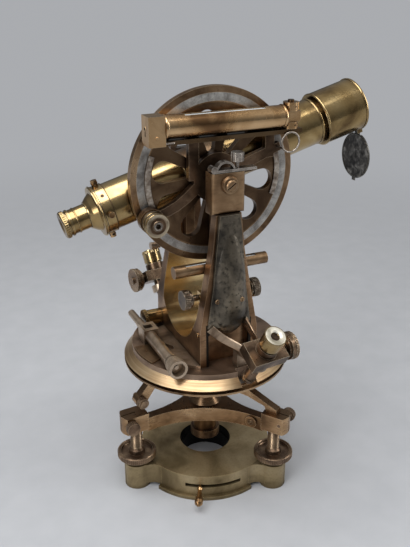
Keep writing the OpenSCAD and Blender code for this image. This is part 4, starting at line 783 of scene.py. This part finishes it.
# Objective and its cover: a clear lens in the dew cap, and a thin disc that hangs from a hinge
# at its lower edge, with a rolled rim. The disc's blacking is mottled where it has worn off.
clear_glass, tree, shader, place = start_material("clear glass")
shader.inputs["Transmission Weight"].default_value = 1.0
shader.inputs["IOR"].default_value = 1.5
tree.links.new(ramp(tree, cloud(tree, place, 90), [(0.3, (0.80, 0.88, 0.84)),
                                                   (0.7, (0.93, 0.97, 0.95))]),
               shader.inputs["Base Color"])
tree.links.new(times(tree, cloud(tree, place, 300), 0.06), shader.inputs["Roughness"])
dress(clear_glass, "objective_lens")
blacking = aged_metal("mottled blacking", (0.010, 0.009, 0.008), (0.075, 0.070, 0.064),
                      (0.26, 0.25, 0.23), (0.45, 0.42, 0.36), metallic=0.6, rough=(0.24, 0.42),
                      patches=150, spots=0.6, wear=0.6, corner_shade_strength=0.6, bump=0.1)
dress(blacking, "objective_cover")
cover_middle = on_tube(182.8, 0, -29.3) + Vector((0, 0, -27.5))
turned_ring("objective_cover_rim", "objective_cover", blacking, cover_middle, ALONG_X,
            [(23.6, -0.9), (23.6, 0.3), (22.2, 0.3), (22.2, -0.9), (22.6, -1.15), (23.2, -1.15)])

# Index frame: dark bronze arms on the trunnion, with two verniers of corroded silver against
# the circle's ring, and an empty wire ring that held a reader.
arm_bronze = aged_metal("arm bronze", (0.045, 0.027, 0.016), (0.145, 0.090, 0.055),
                        (0.30, 0.20, 0.125), (0.68, 0.50, 0.33), metallic=0.92,
                        rough=(0.22, 0.4), patches=34, spots=0.3, wear=0.9, corner_shade_strength=0.95, bump=0.05)
corroded_silver = aged_metal("corroded silver", (0.09, 0.065, 0.05), (0.31, 0.250, 0.200),
                             (0.62, 0.56, 0.48), (0.80, 0.76, 0.68), metallic=0.8,
                             rough=(0.3, 0.5), patches=150, spots=0.5, wear=0.3, corner_shade_strength=0.6)
dress(arm_bronze, "index_frame")
dress(corroded_silver, "verniers")
dress(worn_silver, "reader_ring")

# Reader: a small magnifier for the vernier, a ribbed brass tube gone beige with a stepped
# bronze stop and a bright ring round its lens, where a dark disc is painted as the shade inside.
READER_OUT, READER_TURN = 74.5, (-0.8988, -0.4384)
READER_X, READER_Z = (READER_TURN[0] * READER_OUT,
                      TRUNNION_HEIGHT + READER_TURN[1] * READER_OUT)
beige_brass = aged_metal("beige brass", (0.16, 0.115, 0.075), (0.47, 0.385, 0.270),
                         (0.66, 0.57, 0.42), (0.86, 0.79, 0.64), metallic=0.85,
                         rough=(0.26, 0.44), patches=60, spots=0.3, wear=0.8, corner_shade_strength=0.9, bump=0.05)
dress(beige_brass, "reader")
for name, slot, material, y, profile in (
        ("reader_rib_1", "yellow_brass", yellow_brass, -44.0, bead(10.7, 1.6, 1.4)),
        ("reader_rib_2", "yellow_brass", yellow_brass, -41.4, bead(10.0, 1.6, 1.4)),
        ("reader_rib_3", "yellow_brass", yellow_brass, -36.5, bead(10.0, 1.6, 1.4)),
        ("reader_stop", "bronze", arm_bronze, -45.4,
         [(2.4, -0.4), (3.4, -0.9), (4.6, -0.9), (5.0, -0.3), (8.0, -0.3), (8.0, 0.8), (2.4, 0.8)]),
        ("reader_lens_ring", "silver", worn_silver, -45.5,
         [(2.6, -1.0), (3.3, -1.2), (3.9, -1.0), (3.9, 0), (2.6, 0)]),
        # Painted shade: a dark disc in the lens stands for the shade inside the reader.
        ("reader_lens_shade", "bronze", dark_bronze_and_shade, -44.2,
         [(0.3, -0.4), (5.2, -0.4), (5.2, 0.4), (0.3, 0.4)])):
    turned_ring(name, "reader", material, (READER_X, y, READER_Z), ALONG_Y, profile)

# Altitude level: a vial in a warm brass tube, held by a block with a key hole at the left and
# by capstan nuts on a post at the right. The bar that joins them under the tube is dark.
LEVEL_Y, LEVEL_Z, POST_X, NUT_RADIUS, BAR_START = -33, 390, 73, 7.3, -0.0555
level_brass = warm_brass.copy()
level_brass.name = "level bar brass"
tree = level_brass.node_tree
x, y, z = axes(tree, object_place(tree))
paint_over(tree, times(tree, more(tree, x, BAR_START), 0.85), (0.06, 0.036, 0.02))
dress(level_brass, "level_bar")
dress(warm_brass, "level_tube", "level_nuts")
for number, along in enumerate((-54.5, 63.6), 1):
    turned_ring("level_rim_%d" % number, "index", warm_brass, (along, LEVEL_Y, LEVEL_Z),
                ALONG_X, bead(10.5, 2.4))
turned_ring("level_key_rim", "index", warm_brass, (-71.6, LEVEL_Y, LEVEL_Z), ALONG_X,
            [(1.6, -0.6), (2.3, -0.6), (2.6, -0.2), (2.6, 0.6), (1.6, 0.6)], steps=32)
turned_ring("level_block_screw", "index", warm_brass, (-64, -41.1, 382.5), ALONG_Y,
            [(0.1, -0.9), (1.3, -0.9), (1.7, -0.4), (1.7, 1.2), (0.1, 1.2)], steps=32)
turned_ring("level_pin", "index", worn_silver, (-56.2, -40.2, 377), ALONG_X,
            [(0.1, 0), (1.1, 0), (1.1, 8), (0.8, 8.6), (0.1, 8.6)], steps=24)
for number, height in enumerate((382, 399), 1):
    for step in range(6):
        turn = math.radians(60 * step + 10)
        way = Vector((math.sin(turn), -math.cos(turn), 0))
        # Painted shade: dark discs stand for the shade in the capstan nuts' pin holes.
        turned_ring("capstan_hole_%d_%d" % (number, step + 1), "index", dark_bronze_and_shade,
                    Vector((POST_X, LEVEL_Y, height)) + way * NUT_RADIUS, way,
                    [(0.1, -0.2), (0.9, -0.2), (0.9, 0.32), (0.1, 0.32)], steps=16)

# Floor: a pale paper that fades into the backdrop's grey away from the instrument.
# The fade is seen by the camera and in gloss and glass, and sheds no light of its own.
PAPER_GREY = (0.40, 0.41, 0.43)
bpy.ops.object.select_all(action="DESELECT")
bpy.ops.mesh.primitive_plane_add(size=6, location=(0, 0, 0))
floor = bpy.context.object
floor.name = "floor"
floor_paper, tree, shader, place = start_material("floor paper")
shader.inputs["Roughness"].default_value = 0.85
tree.links.new(ramp(tree, cloud(tree, place, 30), [(0.3, PAPER_GREY), (0.7, (0.43, 0.44, 0.46))]),
               shader.inputs["Base Color"])
rays = tree.nodes.new("ShaderNodeLightPath")
seen = sums(tree, "MAXIMUM", rays.outputs["Is Camera Ray"], rays.outputs["Is Glossy Ray"])
seen = sums(tree, "MAXIMUM", seen, rays.outputs["Is Transmission Ray"])
away = tree.nodes.new("ShaderNodeVectorMath")
away.operation = "LENGTH"
tree.links.new(place, away.inputs[0])
fade = spread(tree, away.outputs["Value"], 0.35, 1.5, kind="SMOOTHSTEP")
backdrop = tree.nodes.new("ShaderNodeEmission")
backdrop.inputs["Color"].default_value = tint(PAPER_GREY)
joined = tree.nodes.new("ShaderNodeMixShader")
tree.links.new(times(tree, fade, seen), joined.inputs[0])
tree.links.new(shader.outputs["BSDF"], joined.inputs[1])
tree.links.new(backdrop.outputs["Emission"], joined.inputs[2])
tree.links.new(joined.outputs["Shader"], tree.nodes["Material Output"].inputs["Surface"])
floor.data.materials.append(floor_paper)


# Lamps: a wide soft one above, one at the left and a weaker one at the right, in a room whose
# walls are dark below and grey above, as gloss shows them.
def soft_lamp(name, place, aim, size, power):
    lamp = bpy.data.lights.new(name, "AREA")
    lamp.shape = "RECTANGLE"
    lamp.size, lamp.size_y = size
    lamp.energy = power
    holder = bpy.data.objects.new(name, lamp)
    holder.location = place
    holder.rotation_euler = (Vector(aim) - Vector(place)).to_track_quat("-Z", "Y").to_euler()
    scene.collection.objects.link(holder)


soft_lamp("top lamp", (-0.35, -0.2, 1.6), (0, 0, 0.2), (1.5, 1.1), 24)
soft_lamp("left lamp", (-1.3, -0.75, 0.8), (0, 0, 0.25), (0.45, 1.4), 11)
soft_lamp("right lamp", (1.2, -0.7, 0.8), (0, 0, 0.25), (0.3, 1.2), 7)

scene.world = bpy.data.worlds.new("studio")
scene.world.use_nodes = True
tree = scene.world.node_tree
sky = tree.nodes["Background"]
sky.inputs["Strength"].default_value = 1.0
rays = tree.nodes.new("ShaderNodeLightPath")
seen = sums(tree, "MAXIMUM", rays.outputs["Is Camera Ray"], rays.outputs["Is Transmission Ray"])
x, y, z = axes(tree, tree.nodes.new("ShaderNodeTexCoord").outputs["Generated"])
room = ramp(tree, sums(tree, "MULTIPLY_ADD", z, 0.5, 0.5),
            [(0.35, (0.035, 0.035, 0.035)), (0.6, (0.13, 0.135, 0.14)), (0.95, (0.42, 0.42, 0.42))])
tree.links.new(blend_colour(tree, seen, room, PAPER_GREY), sky.inputs["Color"])

# Camera: at the photograph's place, to the left of the front and looking down on it.
# The frame is 410 by 547, and the sensor's height is a full frame's width.
SENSOR, LENS, LOOK_DOWN, LOOK_RIGHT = 36.0, 47.42, 23.26, 24.64
camera_data = bpy.data.cameras.new("camera")
camera_data.sensor_fit = "VERTICAL"
camera_data.sensor_height = SENSOR
camera_data.sensor_width = SENSOR * 410 / 547
camera_data.lens = LENS
camera = bpy.data.objects.new("camera", camera_data)
camera.location = (-0.2831, -0.6173, 0.5207)
camera.rotation_euler = (math.radians(90 - LOOK_DOWN), 0, math.radians(-LOOK_RIGHT))
scene.collection.objects.link(camera)
scene.camera = camera
scene.view_settings.view_transform = "Standard"
